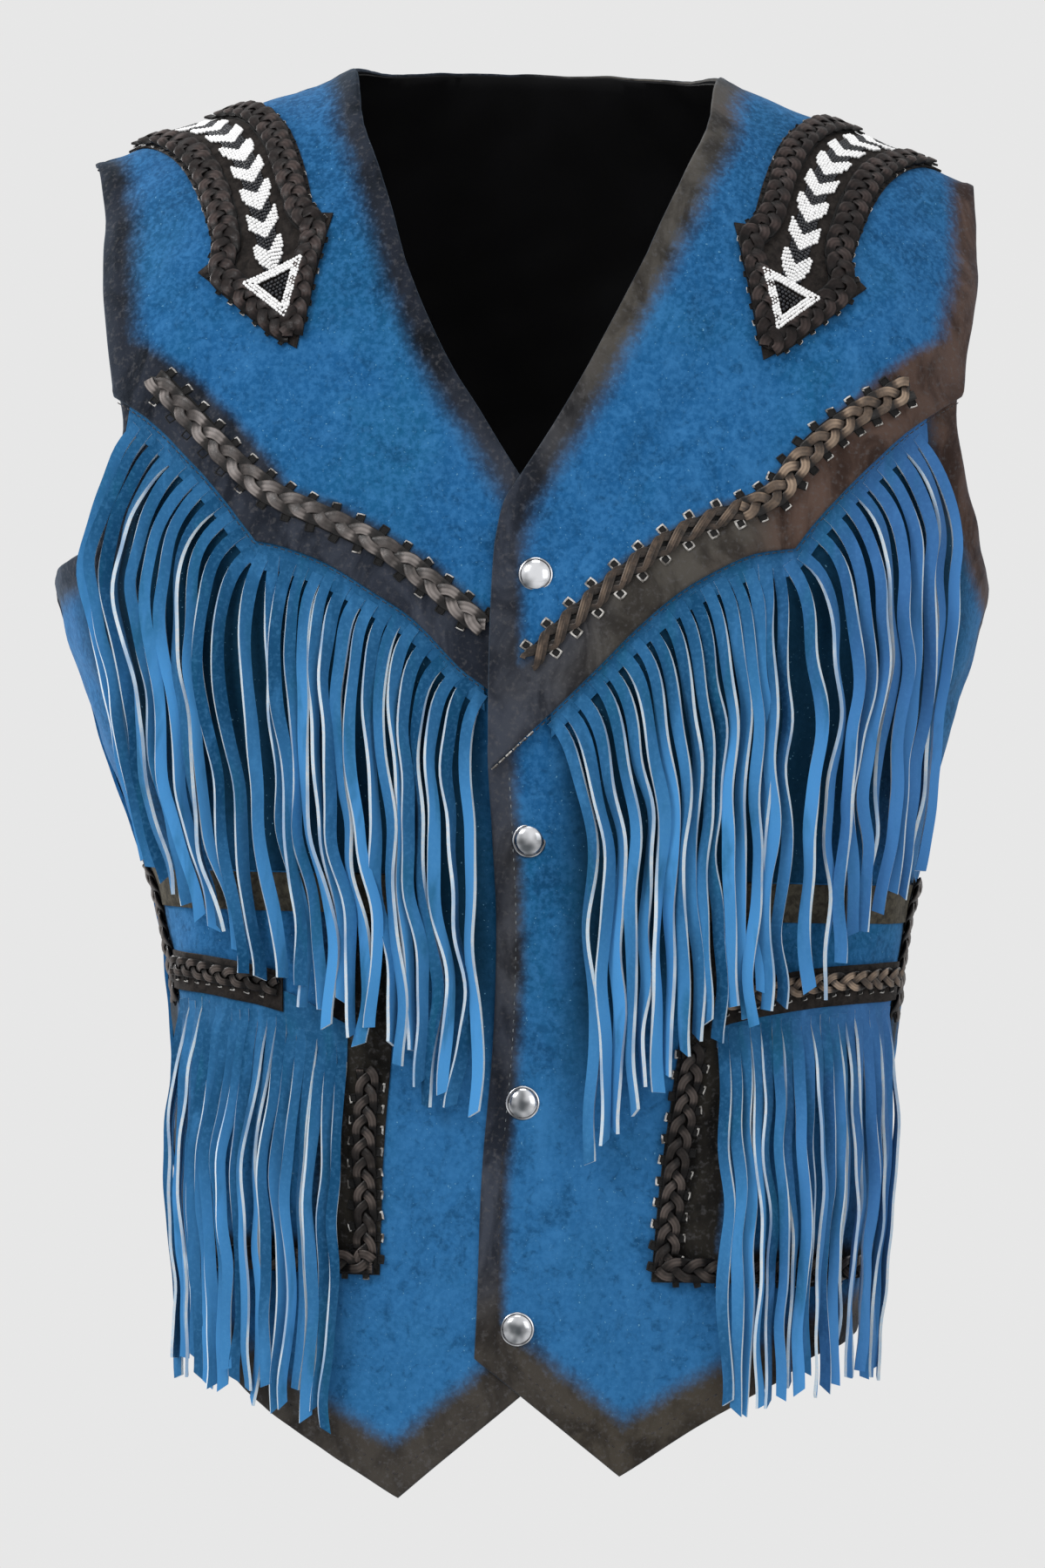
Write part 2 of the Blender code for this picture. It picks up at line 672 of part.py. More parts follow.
def miter(corners, i):
    """The cross direction at a corner of a line, long enough to meet both runs, and the tangent of half its turn."""
    if i in (0, len(corners) - 1):
        a, b = (corners[0], corners[1]) if i == 0 else (corners[-2], corners[-1])
        way = (b - a).normalized()
        return Vector((-way.y, way.x)), 0.0
    before = (corners[i] - corners[i - 1]).normalized()
    after = (corners[i + 1] - corners[i]).normalized()
    turn = abs(before.angle(after)) / 2
    bisector = (before + after).normalized()
    return Vector((-bisector.y, bisector.x)) / math.cos(turn), math.tan(turn)


def arrow_place(side):
    """A function from (distance from the tip, aside) on a shoulder arrow to its cloth place."""
    tip = Vector(cloth_place(side * ARROW_TIP[0], ARROW_TIP[1]))
    tail = Vector(shoulder_place(side * ARROW_TAIL))
    way = (tail - tip).normalized()
    aside = Vector((way.y, -way.x)) * side

    def place(along, off):
        return tuple(tip + way * along + aside * off)

    return place, (tail - tip).length


def arrow(side, lattice):
    """The laced shoulder arrow: a patch, the braid round its edge and the beaded strip in its middle."""
    name = SIDE_NAMES[side]
    place, length = arrow_place(side)
    on_yoke = raised(yoke_lift(side), WALL + GAP)
    on_patch = raised(on_yoke, TRIM + SEAT * 1.25)
    half = ARROW_NOTCH[1]
    outline = [(0.0, 0.0), ARROW_BARB, ARROW_NOTCH]
    tail_left = tail_reach(side, place, length, half)
    tail_right = tail_reach(side, place, length, -half)
    ring = [place(*p) for p in outline] + [place(tail_left, half), place(tail_right, -half)]
    ring += [place(a, -b) for a, b in reversed(outline[1:])]
    ring = spaced(ring + ring[:1], 0.02)[:-1]
    if side < 0:
        ring = list(reversed(ring))
    cut_cloth(f"arrow_patch_{name}", lattice, ring, on_yoke, TRIM, BROWN)
    inset = ARROW_LACE / 2 + 0.0002
    shaft = half - inset
    slope = math.hypot(*ARROW_BARB)
    point_reach = inset * slope / ARROW_BARB[1]
    turn_at = ARROW_BARB[0] - inset
    turn_off = (turn_at * ARROW_BARB[1] - inset * slope) / ARROW_BARB[0]
    neck_at = ARROW_NOTCH[0] + 0.004
    path = [(tail_left - 0.003, shaft), (neck_at, shaft), (turn_at, turn_off), (point_reach, 0.0)]
    path += [(turn_at, -turn_off), (neck_at, -shaft), (tail_right - 0.003, -shaft)]
    places = [place(*p) for p in path]
    if side > 0:
        places = list(reversed(places))
    braid(f"arrow_braid_{name}", lattice, places, on_patch, ARROW_LACE)
    tip_at, base_at, wide = BEAD_HEAD
    strip = [(tip_at, 0.0), (base_at, wide), (base_at + 0.002, BEAD_HALF_WIDTH)]
    end = min(tail_left, tail_right)
    beads = [place(*p) for p in strip] + [place(end - 0.003, BEAD_HALF_WIDTH), place(end - 0.003, -BEAD_HALF_WIDTH)]
    beads += [place(a, -b) for a, b in reversed(strip[1:])]
    if side < 0:
        beads = list(reversed(beads))
    cut_cloth(f"arrow_beadwork_{name}", lattice, beads, on_patch, TRIM, BEADS)


def tail_reach(side, place, length, aside):
    """How far from the tip a line along the arrow meets the shoulder seam."""
    reach = length
    for _ in range(6):
        across, up = place(reach, aside)
        point = form(across, up)
        seam = ridge(point.x) - ROLL_DROP + ROLL_RUN - SHOULDER_SEAM * 1.5
        reach += (seam - up) * 0.9
    return reach


def pocket_x(side, distance):
    return side * distance + BODY_SHIFT_AT_POCKET


# The slanted braid along the pocket's opening, as (place across, height).
WELT = [(SIDE_SEAM - 0.034, POCKET_TOP + 0.002), (SIDE_SEAM - 0.054, POCKET_TOP - 0.064)]
welt = Curve([(height, across) for across, height in WELT])


def pocket(side, lattice):
    """The hip pocket: patch, top band, laced strip over a fringe, and braids along its edges."""
    name = SIDE_NAMES[side]
    on_front_panel = raised(lower_lift(side), WALL + GAP)
    on_patch = raised(on_front_panel, TRIM + GAP)
    over_fringe = raised(on_patch, FRINGE + SEAT * 2)

    def place(distance, height):
        reach = half_width(height) * 0.985
        distance = min(distance, reach)
        return cloth_place(pocket_x(side, distance), height)

    def trim_end(height):
        """Where the flat trims stop, short of the slanted side braid."""
        return side * (welt(height) - BRAID_WIDTH / 2 - 0.0012)

    outer = side * (SIDE_SEAM - POCKET_SIDE)
    inner_top, inner_foot = POCKET_INNER_TOP[side], POCKET_INNER_FOOT[side]
    inner = [place(inner_top, POCKET_TOP), place(inner_foot, POCKET_FOOT)]
    patch = [(outer, POCKET_FOOT), (outer, POCKET_TOP), inner[0], inner[1]]
    order = patch if side > 0 else list(reversed(patch))
    cut_cloth(f"pocket_patch_{name}", lattice, spaced(order + order[:1], 0.04)[:-1], on_front_panel, TRIM, SUEDE)
    top, low = POCKET_TOP - 0.0005, POCKET_TOP - POCKET_BAND_DEPTH
    band = [(trim_end(low), low), (trim_end(top), top), place(inner_top, top), place(inner_top, low)]
    order = band if side > 0 else list(reversed(band))
    cut_cloth(f"pocket_band_{name}", lattice, spaced(order + order[:1], 0.04)[:-1], on_patch, TRIM, BROWN)
    strip_rows = STRIP_LINE[side]
    strip_end = trim_end(strip_rows[-1][1])
    strip_line = Curve([place(d, z) for d, z in strip_rows[:-1]] + [(strip_end, strip_rows[-1][1])])
    ends = sorted([strip_line.x[0], strip_line.x[-1]])
    laid = sorted([strip_end - side * 0.0005, place(STRIP_END[side], -0.450)[0]])
    xs = np.linspace(*laid, 8)
    strip = [(a, strip_line(a)) for a in xs] + [(a, strip_line(a) + STRIP_DEPTH) for a in reversed(xs)]
    cut_cloth(f"pocket_strip_{name}", lattice, strip, over_fringe, TRIM, BROWN)
    on_strip = raised(over_fringe, TRIM + SEAT)
    braid_line = [(a, strip_line(a) + STRIP_DEPTH / 2) for a in np.linspace(laid[0] + 0.002, laid[1] - 0.002, 4)]
    braid(f"pocket_strip_braid_{name}", lattice, braid_line, on_strip)
    inset = BRAID_WIDTH / 2 + 0.0008
    side_braid = [(side * across, height) for across, height in WELT]
    on_edge = raised(on_front_panel, TRIM + SEAT)
    braid(f"pocket_side_braid_{name}", lattice, side_braid, on_edge)
    low = POCKET_FOOT + inset
    start = place(*EDGE_BRAID_TOP[side])
    corner = place(inner_foot + inset, low)
    foot_end = (outer - side * 0.030, low)
    path = [start, corner, foot_end]
    braid(f"pocket_edge_braid_{name}", lattice, path if side > 0 else list(reversed(path)), on_edge)

    def hang(share):
        return 0.0045 * ramp(share, 0.0, 0.35) + 0.002 * share

    clear = {1: (0.0055, 0.004), -1: (0.004, 0.0055)}[side]
    seam = (ends[0] + clear[0], ends[1] - clear[1], strip_line)
    size = (POCKET_STRANDS, POCKET_STRAND_LENGTH, POCKET_STRAND_WIDTH)
    base = raised(on_front_panel, TRIM + SEAT)
    fringe(f"pocket_fringe_{name}", lattice, seam, FRINGE_ROOT * 0.8, *size, base, hang, 30 + side)


def chest_fringe(side, lattice):
    """The fringe sewn under the yoke's edge."""
    name = SIDE_NAMES[side]
    base = raised(lower_lift(side), WALL + SEAT)
    outer = cloth_place(side * 0.1865, -0.17)[0]
    inner = cloth_place(-0.0175, -0.30)[0] if side < 0 else cloth_place(0.0135, -0.31)[0]
    first, last = sorted((outer, inner))

    def hang(share):
        return 0.0085 * ramp(share, 0.0, 0.45) + 0.003 * share

    top = (first, last, YOKE_HEIGHT[side])
    size = (CHEST_STRANDS, CHEST_STRAND_LENGTH, CHEST_STRAND_WIDTH)
    fringe(f"chest_fringe_{name}", lattice, top, FRINGE_ROOT, *size, base, hang, 20 + side)


def snap(index, height, lattice):
    """A domed snap cap on the left front, turned about the cloth's normal."""
    across, up = cloth_place(SNAP_ACROSS, height)
    in_yoke = height > YOKE_INNER[1][-2][1] + 0.02
    lift = raised(yoke_lift(1) if in_yoke else lower_lift(1), WALL + SEAT)
    foot = lattice.lay(across, up, lift)
    way = (lattice.lay(across, up, raised(lift, 0.01)) - foot).normalized()
    turn = Vector((0, 0, 1)).rotation_difference(way)
    rim = [(across + SNAP_RADIUS * math.cos(t), up + SNAP_RADIUS * math.sin(t)) for t in np.linspace(0, 6, 13)]
    foot += way * max((lattice.lay(*place, lift) - foot).dot(way) for place in rim)
    profile = [(0.92, 0.0), (1.0, 0.16), (1.0, 0.34), (0.90, 0.50), (0.80, 0.50), (0.72, 0.62), (0.45, 0.90)]
    points = []
    for share, rise in profile:
        for k in range(SNAP_SEGMENTS):
            angle = 2 * math.pi * k / SNAP_SEGMENTS
            flat = Vector((math.cos(angle) * share * SNAP_RADIUS, math.sin(angle) * share * SNAP_RADIUS, 0))
            points.append(foot + turn @ (flat + Vector((0, 0, rise * SNAP_RISE))))
    faces = []
    for ring in range(len(profile) - 1):
        for k in range(SNAP_SEGMENTS):
            a = ring * SNAP_SEGMENTS + k
            b = ring * SNAP_SEGMENTS + (k + 1) % SNAP_SEGMENTS
            faces.append((a, b, b + SNAP_SEGMENTS, a + SNAP_SEGMENTS))
    faces.append(tuple(reversed(range(SNAP_SEGMENTS))))
    top = (len(profile) - 1) * SNAP_SEGMENTS
    crown = len(points)
    points.append(foot + turn @ Vector((0, 0, SNAP_RISE)))
    faces += [(top + k, top + (k + 1) % SNAP_SEGMENTS, crown) for k in range(SNAP_SEGMENTS)]
    mesh_object(f"snap_{index}", points, faces, METAL)


def yoke_braid(side, lattice):
    """The braid laced above the yoke's edge."""
    path = on_front(curved(YOKE_BRAID[side], 1))
    lift = raised(yoke_lift(side), WALL + YOKE_BRAID_SEAT[side])
    braid(f"yoke_braid_{SIDE_NAMES[side]}", lattice, path if side > 0 else list(reversed(path)), lift)


def build():
    clear_scene()
    front = Lattice(-SIDE_SEAM, SIDE_SEAM, -0.700, 0.060, FRONT_LATTICE)
    back = Lattice(SIDE_SEAM, FAR_SIDE_SEAM, -0.620, 0.110, BACK_LATTICE)
    cut_cloth("back", back, back_outline(), 0.0, WALL, SUEDE)
    cut_cloth("back_lining", back, back_outline(0.004), -LINING_THICKNESS - SEAT * 2, LINING_THICKNESS, LINING)
    for side in (-1, 1):
        lower_front(side, front)
        yoke(side, front)
        chest_fringe(side, front)
        yoke_braid(side, front)
        arrow(side, front)
        pocket(side, front)
    for index, height in enumerate(SNAP_HEIGHTS, start=1):
        snap(index, height, front)


build()
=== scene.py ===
"""Looks of a fringed western vest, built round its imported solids, in metres, +Z up, the wearer facing -Y.

Cloth and leather are laid on the hollow form that the solids follow. A point of the form is named by a cloth
place (across, up): across is the length round the body from the centre front, towards the wearer's left, and
up is the height, measured along the cloth where it rolls over the shoulder. Side -1 is the wearer's right,
and side 1 the left.
"""

import math

import bpy
import numpy as np
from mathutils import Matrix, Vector
from mathutils.geometry import delaunay_2d_cdt


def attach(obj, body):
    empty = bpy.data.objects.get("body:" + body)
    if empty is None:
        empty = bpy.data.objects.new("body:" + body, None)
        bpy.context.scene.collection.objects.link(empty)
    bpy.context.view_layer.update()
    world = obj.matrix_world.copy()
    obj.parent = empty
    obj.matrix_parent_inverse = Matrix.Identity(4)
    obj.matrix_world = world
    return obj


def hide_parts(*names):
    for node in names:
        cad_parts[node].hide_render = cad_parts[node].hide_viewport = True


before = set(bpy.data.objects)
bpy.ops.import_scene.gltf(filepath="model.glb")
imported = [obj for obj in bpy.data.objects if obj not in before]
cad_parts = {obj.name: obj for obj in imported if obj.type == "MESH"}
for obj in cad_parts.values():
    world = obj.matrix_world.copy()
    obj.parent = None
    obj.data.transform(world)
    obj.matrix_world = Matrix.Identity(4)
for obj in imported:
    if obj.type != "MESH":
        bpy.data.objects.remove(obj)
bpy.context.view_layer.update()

# Form of the body, as in the solids. Heights are from the neck point of the shoulder seam.
SECTION_COLUMNS = ("height", "half_width", "shift", "front", "back")
SECTIONS = [
    (-0.700, 0.1590, 0.0100, 0.119, 0.112),
    (-0.592, 0.1630, 0.0100, 0.119, 0.110),
    (-0.525, 0.1712, 0.0085, 0.118, 0.106),
    (-0.462, 0.1755, 0.0100, 0.117, 0.102),
    (-0.407, 0.1818, 0.0085, 0.118, 0.103),
    (-0.365, 0.1922, 0.0046, 0.121, 0.109),
    (-0.323, 0.2036, 0.0005, 0.124, 0.116),
    (-0.251, 0.2228, -0.0020, 0.125, 0.126),
    (-0.200, 0.2230, -0.0010, 0.120, 0.129),
    (-0.150, 0.2210, 0.0, 0.112, 0.126),
    (-0.100, 0.2180, 0.0, 0.101, 0.116),
    (-0.050, 0.2150, 0.0, 0.086, 0.100),
    (0.000, 0.2080, 0.0, 0.074, 0.082),
    (0.100, 0.2000, 0.0, 0.070, 0.070),
]
ROUNDNESS = 2.5
RIDGE = [(0.0, 0.048), (0.045, 0.032), (0.090, -0.001), (0.150, -0.025), (0.212, -0.050), (0.250, -0.066)]
ROLL_DROP = 0.120
ROLL_RUN = 0.165

# Soft folds of the solids, running down: place across, half width, depth, and the heights of each end.
FOLDS = [
    (-0.075, 0.045, -0.0030, -0.75, -0.42),
    (-0.020, 0.035, 0.0020, -0.75, -0.48),
    (0.060, 0.040, -0.0032, -0.75, -0.40),
    (0.115, 0.040, 0.0022, -0.75, -0.44),
    (-0.150, 0.040, 0.0024, -0.75, -0.44),
    (0.235, 0.050, -0.0040, -0.47, -0.28),
    (-0.235, 0.050, -0.0040, -0.47, -0.28),
    (0.330, 0.050, 0.0040, -0.75, -0.35),
    (0.410, 0.045, -0.0045, -0.72, -0.30),
    (0.480, 0.045, 0.0030, -0.70, -0.25),
    (0.555, 0.050, -0.0040, -0.74, -0.32),
    (0.640, 0.050, 0.0035, -0.75, -0.38),
]
# Creases in the cloth: middle across and up, half length, half width, lean from upright in
# degrees, and depth, where a trough is negative.
CREASES = [
    (0.045, -0.560, 0.060, 0.010, 28, -0.0012),
    (0.066, -0.540, 0.045, 0.008, 34, 0.0009),
    (0.020, -0.470, 0.070, 0.012, -8, -0.0010),
    (-0.055, -0.560, 0.060, 0.012, -22, -0.0013),
    (-0.085, -0.600, 0.040, 0.009, -34, 0.0010),
    (0.100, -0.100, 0.050, 0.012, 50, -0.0008),
    (-0.085, -0.110, 0.060, 0.014, -42, -0.0009),
    (-0.130, -0.150, 0.040, 0.011, -60, 0.0008),
    (0.060, -0.190, 0.045, 0.010, 40, -0.0008),
    (0.220, -0.300, 0.045, 0.010, 62, -0.0020),
    (0.230, -0.330, 0.050, 0.012, 70, 0.0016),
    (-0.222, -0.300, 0.045, 0.010, -62, -0.0020),
    (-0.232, -0.335, 0.050, 0.012, -70, 0.0016),
    (0.330, -0.180, 0.070, 0.014, 35, -0.0034),
    (0.370, -0.330, 0.090, 0.016, 18, -0.0042),
    (0.440, -0.420, 0.070, 0.012, -6, 0.0030),
    (0.520, -0.300, 0.090, 0.016, -9, -0.0036),
    (0.560, -0.470, 0.070, 0.013, 10, 0.0030),
    (0.610, -0.200, 0.070, 0.014, -30, -0.0034),
    (0.690, -0.340, 0.080, 0.015, -24, -0.0042),
    (0.660, -0.480, 0.060, 0.012, 6, -0.0030),
    (0.480, -0.520, 0.060, 0.012, 4, -0.0028),
]
# Painted shade in the creases: a trough this deep on the back and sides is painted darkest, and how dark.
CREASE_DEEP = 0.0050
CREASE_SHADE = 0.50
# Slight unevenness of hide, as waves of (length across, length up, phase, height).
UNEVEN = [
    (0.047, 0.081, 0.3, 0.00028),
    (-0.039, 0.063, 1.9, 0.00024),
    (0.028, -0.037, 4.1, 0.00016),
    (0.071, 0.029, 2.6, 0.00022),
    (-0.019, 0.052, 5.2, 0.00010),
]

# Cloth and leather sizes.
WALL = 0.0016
GAP = 0.0003
TRIM = 0.0012
FRINGE = 0.0013
LINING_THICKNESS = 0.0008
LINING_AIR = 0.0006
LINING_INSET = 0.004
LAYER_AIR = 0.0002
SHOULDER_SEAM = 0.0003
ARROW_STOP = 0.0021
SEAM_ALLOWANCE = 0.010
CLOTH_GRID = 0.0046
BACK_GRID = 0.0062
# Width of the turned edges, how much they stand up, and the spacing of the points across their step.
TURNED = 0.0080
TURNED_RISE = 0.0006
EDGE_ROW = 0.0012
SIDE_NAMES = {-1: "right", 1: "left"}

# Front outlines as (distance to the wearer's left, height), by side.
NECK_POINT = 0.0895
SHOULDER_TIP = 0.2120
NECKLINE = {
    -1: [(-0.0835, -0.0235), (-0.0741, -0.052), (-0.065, -0.0805), (-0.0475, -0.128), (-0.036, -0.150),
         (-0.0228, -0.170), (-0.0038, -0.1994), (0.012, -0.222), (0.022, -0.250)],
    1: [(0.083, -0.0225), (0.0716, -0.051), (0.0562, -0.087), (0.041, -0.120), (0.026, -0.150),
        (0.0111, -0.177), (-0.0037, -0.201), (-0.0105, -0.213), (-0.014, -0.232)],
}
FRONT_ARMHOLE = {
    -1: [(-0.2026, -0.091), (-0.1978, -0.130), (-0.1935, -0.160), (-0.1903, -0.180), (-0.1930, -0.198),
         (-0.2000, -0.2200), (-0.2090, -0.2380)],
    1: [(0.2110, -0.083), (0.2048, -0.126), (0.2016, -0.157), (0.2030, -0.177), (0.2105, -0.2056),
        (0.2180, -0.232)],
}
BACK_ARMHOLE = [(0.205, -0.085), (0.200, -0.125), (0.198, -0.160), (0.2005, -0.190), (0.207, -0.218),
                (0.2145, -0.238)]
UNDERARM = -0.252
BACK_NECK = [(0.075, 0.0015), (0.050, 0.005), (0.0, 0.007), (-0.050, 0.005), (-0.075, 0.0015)]
SIDE_HEM = -0.5925
FRONT_EDGE = {-1: 0.022, 1: -0.014}
HEM_FOOT = {-1: -0.614, 1: -0.610}
HEM_POINT = {-1: (-0.0489, -0.6764), 1: (0.0542, -0.6635)}
HEM_RISE = {
    -1: [(-0.0839, -0.656), (-0.1091, -0.639), (-0.135, -0.617)],
    1: [(0.0989, -0.6345), (0.1248, -0.6204), (0.1484, -0.6073)],
}

# Lower edge of the yoke, from the armhole to past the centre, with its cusp, and the braid above it.
YOKE_OUTER = {
    -1: [(-0.1928, -0.1650), (-0.1778, -0.1745), (-0.1641, -0.1868), (-0.1438, -0.2082), (-0.1246, -0.2325)],
    1: [(0.2010, -0.1545), (0.186, -0.165), (0.1677, -0.180), (0.1379, -0.2116), (0.124, -0.230)],
}
YOKE_INNER = {
    -1: [(-0.1246, -0.2325), (-0.1117, -0.2350), (-0.0911, -0.2425), (-0.0706, -0.2545), (-0.0503, -0.2675),
         (-0.0294, -0.2885), (-0.017, -0.2977), (0.022, -0.327)],
    1: [(0.124, -0.230), (0.1056, -0.233), (0.0886, -0.241), (0.0702, -0.2525), (0.052, -0.2685),
        (0.0338, -0.2877), (0.0141, -0.308), (-0.014, -0.335)],
}
YOKE_BRAID = {
    -1: [(-0.1714, -0.1593), (-0.1537, -0.1774), (-0.1354, -0.1968), (-0.1143, -0.2125), (-0.0843, -0.2255),
         (-0.0645, -0.2352), (-0.0438, -0.2505), (-0.0205, -0.2683)],
    1: [(0.1728, -0.1541), (0.1439, -0.1721), (0.1253, -0.1901), (0.1134, -0.2065), (0.0832, -0.2195),
        (0.0656, -0.2293), (0.0425, -0.247), (0.0195, -0.268), (0.0073, -0.281)],
}

# Arrow on each shoulder.
ARROW_TAIL = 0.173
ARROW_TIP = (0.109, -0.142)
ARROW_BARB = (0.052, 0.030)
ARROW_NOTCH = (0.056, 0.0215)
ARROW_BRAID = 0.0105 * 1.28
ARROW_GRID = 0.0050

# Pocket, by distance out from the body's centre line.
POCKET_TOP = -0.386
POCKET_SIDE = 0.020
POCKET_INNER_TOP = {-1: 0.0645, 1: 0.0780}
POCKET_INNER_FOOT = {-1: 0.0650, 1: 0.0620}
POCKET_FOOT = -0.573
POCKET_BAND_DEPTH = 0.018
STRIP_LINE = {
    -1: [(0.0765, -0.4692), (0.0859, -0.4643), (0.1085, -0.4524), (0.1400, -0.4455), (0.160, -0.4430)],
    1: [(0.084, -0.4560), (0.0950, -0.4515), (0.1204, -0.4460), (0.1450, -0.4425), (0.160, -0.4405)],
}
STRIP_DEPTH = 0.018
STRIP_END = {-1: 0.111, 1: 0.085}
EDGE_BRAID_TOP = {-1: (0.0722, -0.4860), 1: (0.0787, -0.4625)}
BODY_SHIFT_AT_POCKET = 0.005
EDGE_BRAID_INSET = 0.0058
WELT_TOP = 0.034
WELT_FOOT = 0.054
WELT_RUN = 0.064

CHEST_STRANDS = 28
CHEST_STRAND_LENGTH = 0.200
CHEST_STRAND_WIDTH = 0.0058
POCKET_STRANDS = 20
POCKET_STRAND_LENGTH = 0.170
POCKET_STRAND_WIDTH = 0.0052
FRINGE_ROOT = 0.012

SNAP_ACROSS = 0.005
SNAP_HEIGHTS = [-0.246, -0.3685, -0.491, -0.596]
SNAP_RADIUS = 0.0078
SNAP_RISE = 0.0034


# Form

class Curve:
    """A smooth curve y(x) through rows of (x, y), for arrays of x."""

    def __init__(self, rows):
        rows = np.array(sorted(rows), float)
        self.x, self.y = rows[:, 0], rows[:, 1]
        low = np.maximum(np.arange(len(rows)) - 1, 0)
        high = np.minimum(np.arange(len(rows)) + 1, len(rows) - 1)
        self.slope = (self.y[high] - self.y[low]) / (self.x[high] - self.x[low])

    def __call__(self, x):
        x = np.clip(x, self.x[0], self.x[-1])
        i = np.clip(np.searchsorted(self.x, x, side="right") - 1, 0, len(self.x) - 2)
        run = self.x[i + 1] - self.x[i]
        t = (x - self.x[i]) / run
        start = (2 * t**3 - 3 * t**2 + 1) * self.y[i] + (t**3 - 2 * t**2 + t) * run * self.slope[i]
        end = (3 * t**2 - 2 * t**3) * self.y[i + 1] + (t**3 - t**2) * run * self.slope[i + 1]
        return start + end

    def rise(self, x, step=0.0015):
        """The curve's slope at x."""
        return (self(x + step) - self(x - step)) / (2 * step)


def column(name):
    index = SECTION_COLUMNS.index(name)
    return Curve([(row[0], row[index]) for row in SECTIONS])


half_width = column("half_width")
shift = column("shift")
front_depth = column("front")
back_depth = column("back")
ridge_curve = Curve(RIDGE)


def ramp(value, start, end):
    """0 before start, 1 after end, and smooth between them."""
    t = np.clip((value - start) / (end - start), 0.0, 1.0)
    return t * t * (3 - 2 * t)


def section_radius(angle, wide, deep):
    side = np.abs(np.sin(angle)) / wide
    ahead = np.abs(np.cos(angle)) / deep
    return (side**ROUNDNESS + ahead**ROUNDNESS) ** (-1 / ROUNDNESS)


def length_table():
    """Angles round a middle section and the length round it to each, from the centre front."""
    angles = np.radians(np.arange(-90.0, 270.5, 0.5))
    deep = np.where(np.cos(angles) > 0, front_depth(-0.35), back_depth(-0.35))
    radii = section_radius(angles, half_width(-0.35), deep)
    points = np.stack([radii * np.sin(angles), -radii * np.cos(angles)], 1)
    steps = np.linalg.norm(np.diff(points, axis=0), axis=1)
    lengths = np.concatenate([[0.0], np.cumsum(steps)])
    return angles, lengths - np.interp(0.0, angles, lengths)


ANGLES, LENGTHS = length_table()
SIDE_SEAM = float(np.interp(math.pi / 2, ANGLES, LENGTHS))
FAR_SIDE_SEAM = float(LENGTHS[-1])


def ridge(x):
    return ridge_curve(np.abs(x))


def form(across, up):
    """Points of the bare form at cloth places."""
    across, up = np.broadcast_arrays(np.asarray(across, float), np.asarray(up, float))
    angle = np.interp(across, LENGTHS, ANGLES)
    height, roll = up, np.ones(up.shape)
    for _ in range(4):
        deep = np.where(np.cos(angle) > 0, front_depth(height), back_depth(height))
        radius = section_radius(angle, half_width(height), deep)
        x = radius * np.sin(angle)
        start = ridge(x) - ROLL_DROP
        turn = (math.pi / 2) * (1 - (up - start) / ROLL_RUN)
        over = up > start
        height = np.where(over, start + ROLL_DROP * np.cos(turn), up)
        roll = np.where(over, np.sin(turn), 1.0)
    return np.stack([x + shift(height), -radius * np.cos(angle) * roll, height], -1)


def unit(vectors):
    return vectors / np.maximum(np.linalg.norm(vectors, axis=-1, keepdims=True), 1e-12)


def out_of_form(across, up):
    """The form's outward normals at cloth places."""
    step = 0.002
    along = form(across + step, up) - form(across - step, up)
    rise = form(across, up + step) - form(across, up - step)
    return unit(np.cross(along, rise))


def relief(across, height):
    """How far folds, creases and unevenness push the cloth out."""
    total = np.zeros(np.shape(across))
    for place, half, depth, foot, head in FOLDS:
        aside = np.clip(np.abs(across - place) / half, 0, 1)
        total = total + depth * (1 - aside**2) ** 2 * (1 - ramp(height, foot + 0.6 * (head - foot), head))
    for place, up, half_length, half, lean, depth in CREASES:
        turn = math.radians(lean)
        off, rise = across - place, height - up
        along = np.clip(np.abs(rise * math.cos(turn) + off * math.sin(turn)) / half_length, 0, 1)
        aside = (off * math.cos(turn) - rise * math.sin(turn)) / half
        total = total + depth * (1 - along**2) ** 2 * np.exp(-(aside**2))
    for wide, tall, phase, high in UNEVEN:
        total = total + high * np.sin(2 * math.pi * (across / wide + height / tall) + phase)
    return total


def lay(across, up, lift):
    """Points over the cloth's inner side at cloth places, and the normals there."""
    across, up, lift = np.broadcast_arrays(*(np.asarray(v, float) for v in (across, up, lift)))
    point, normal = form(across, up), out_of_form(across, up)
    return point + normal * (relief(across, point[..., 2]) + lift)[..., None], normal


def lay_on(places, lift, above=0.0):
    """The same on a layer of the cloth, or above it, from rows of places."""
    across, up = places[..., 0], places[..., 1]
    return lay(across, up, lift(across, up) + above)


def cloth_place(x, height, behind=False):
    """The cloth place of the point of the front, or of the back, seen at (x, height)."""
    x = x - shift(height)
    deep = back_depth(height) if behind else front_depth(height)
    share = min(abs(x) / half_width(height), 1.0)
    ahead = deep * (1 - share**ROUNDNESS) ** (1 / ROUNDNESS)
    angle = math.atan2(x, -ahead if behind else ahead)
    if behind and angle < 0:
        angle += 2 * math.pi
    drop = ridge(x) - height
    up = height
    if drop < ROLL_DROP:
        turn = math.acos(min(max(1 - drop / ROLL_DROP, -1.0), 1.0))
        up = ridge(x) - ROLL_DROP + ROLL_RUN * (1 - turn / (math.pi / 2))
    return float(np.interp(angle, ANGLES, LENGTHS)), float(up)


def shoulder_place(x, behind=False):
    """The cloth place at the shoulder seam, just short of the ridge."""
    across, up = cloth_place(x, float(ridge(x)), behind)
    return across, up - SHOULDER_SEAM


def on_front(points):
    return [cloth_place(x, z) for x, z in points]


def on_back(points):
    return [cloth_place(x, z, behind=True) for x, z in points]


# Lines of cloth places

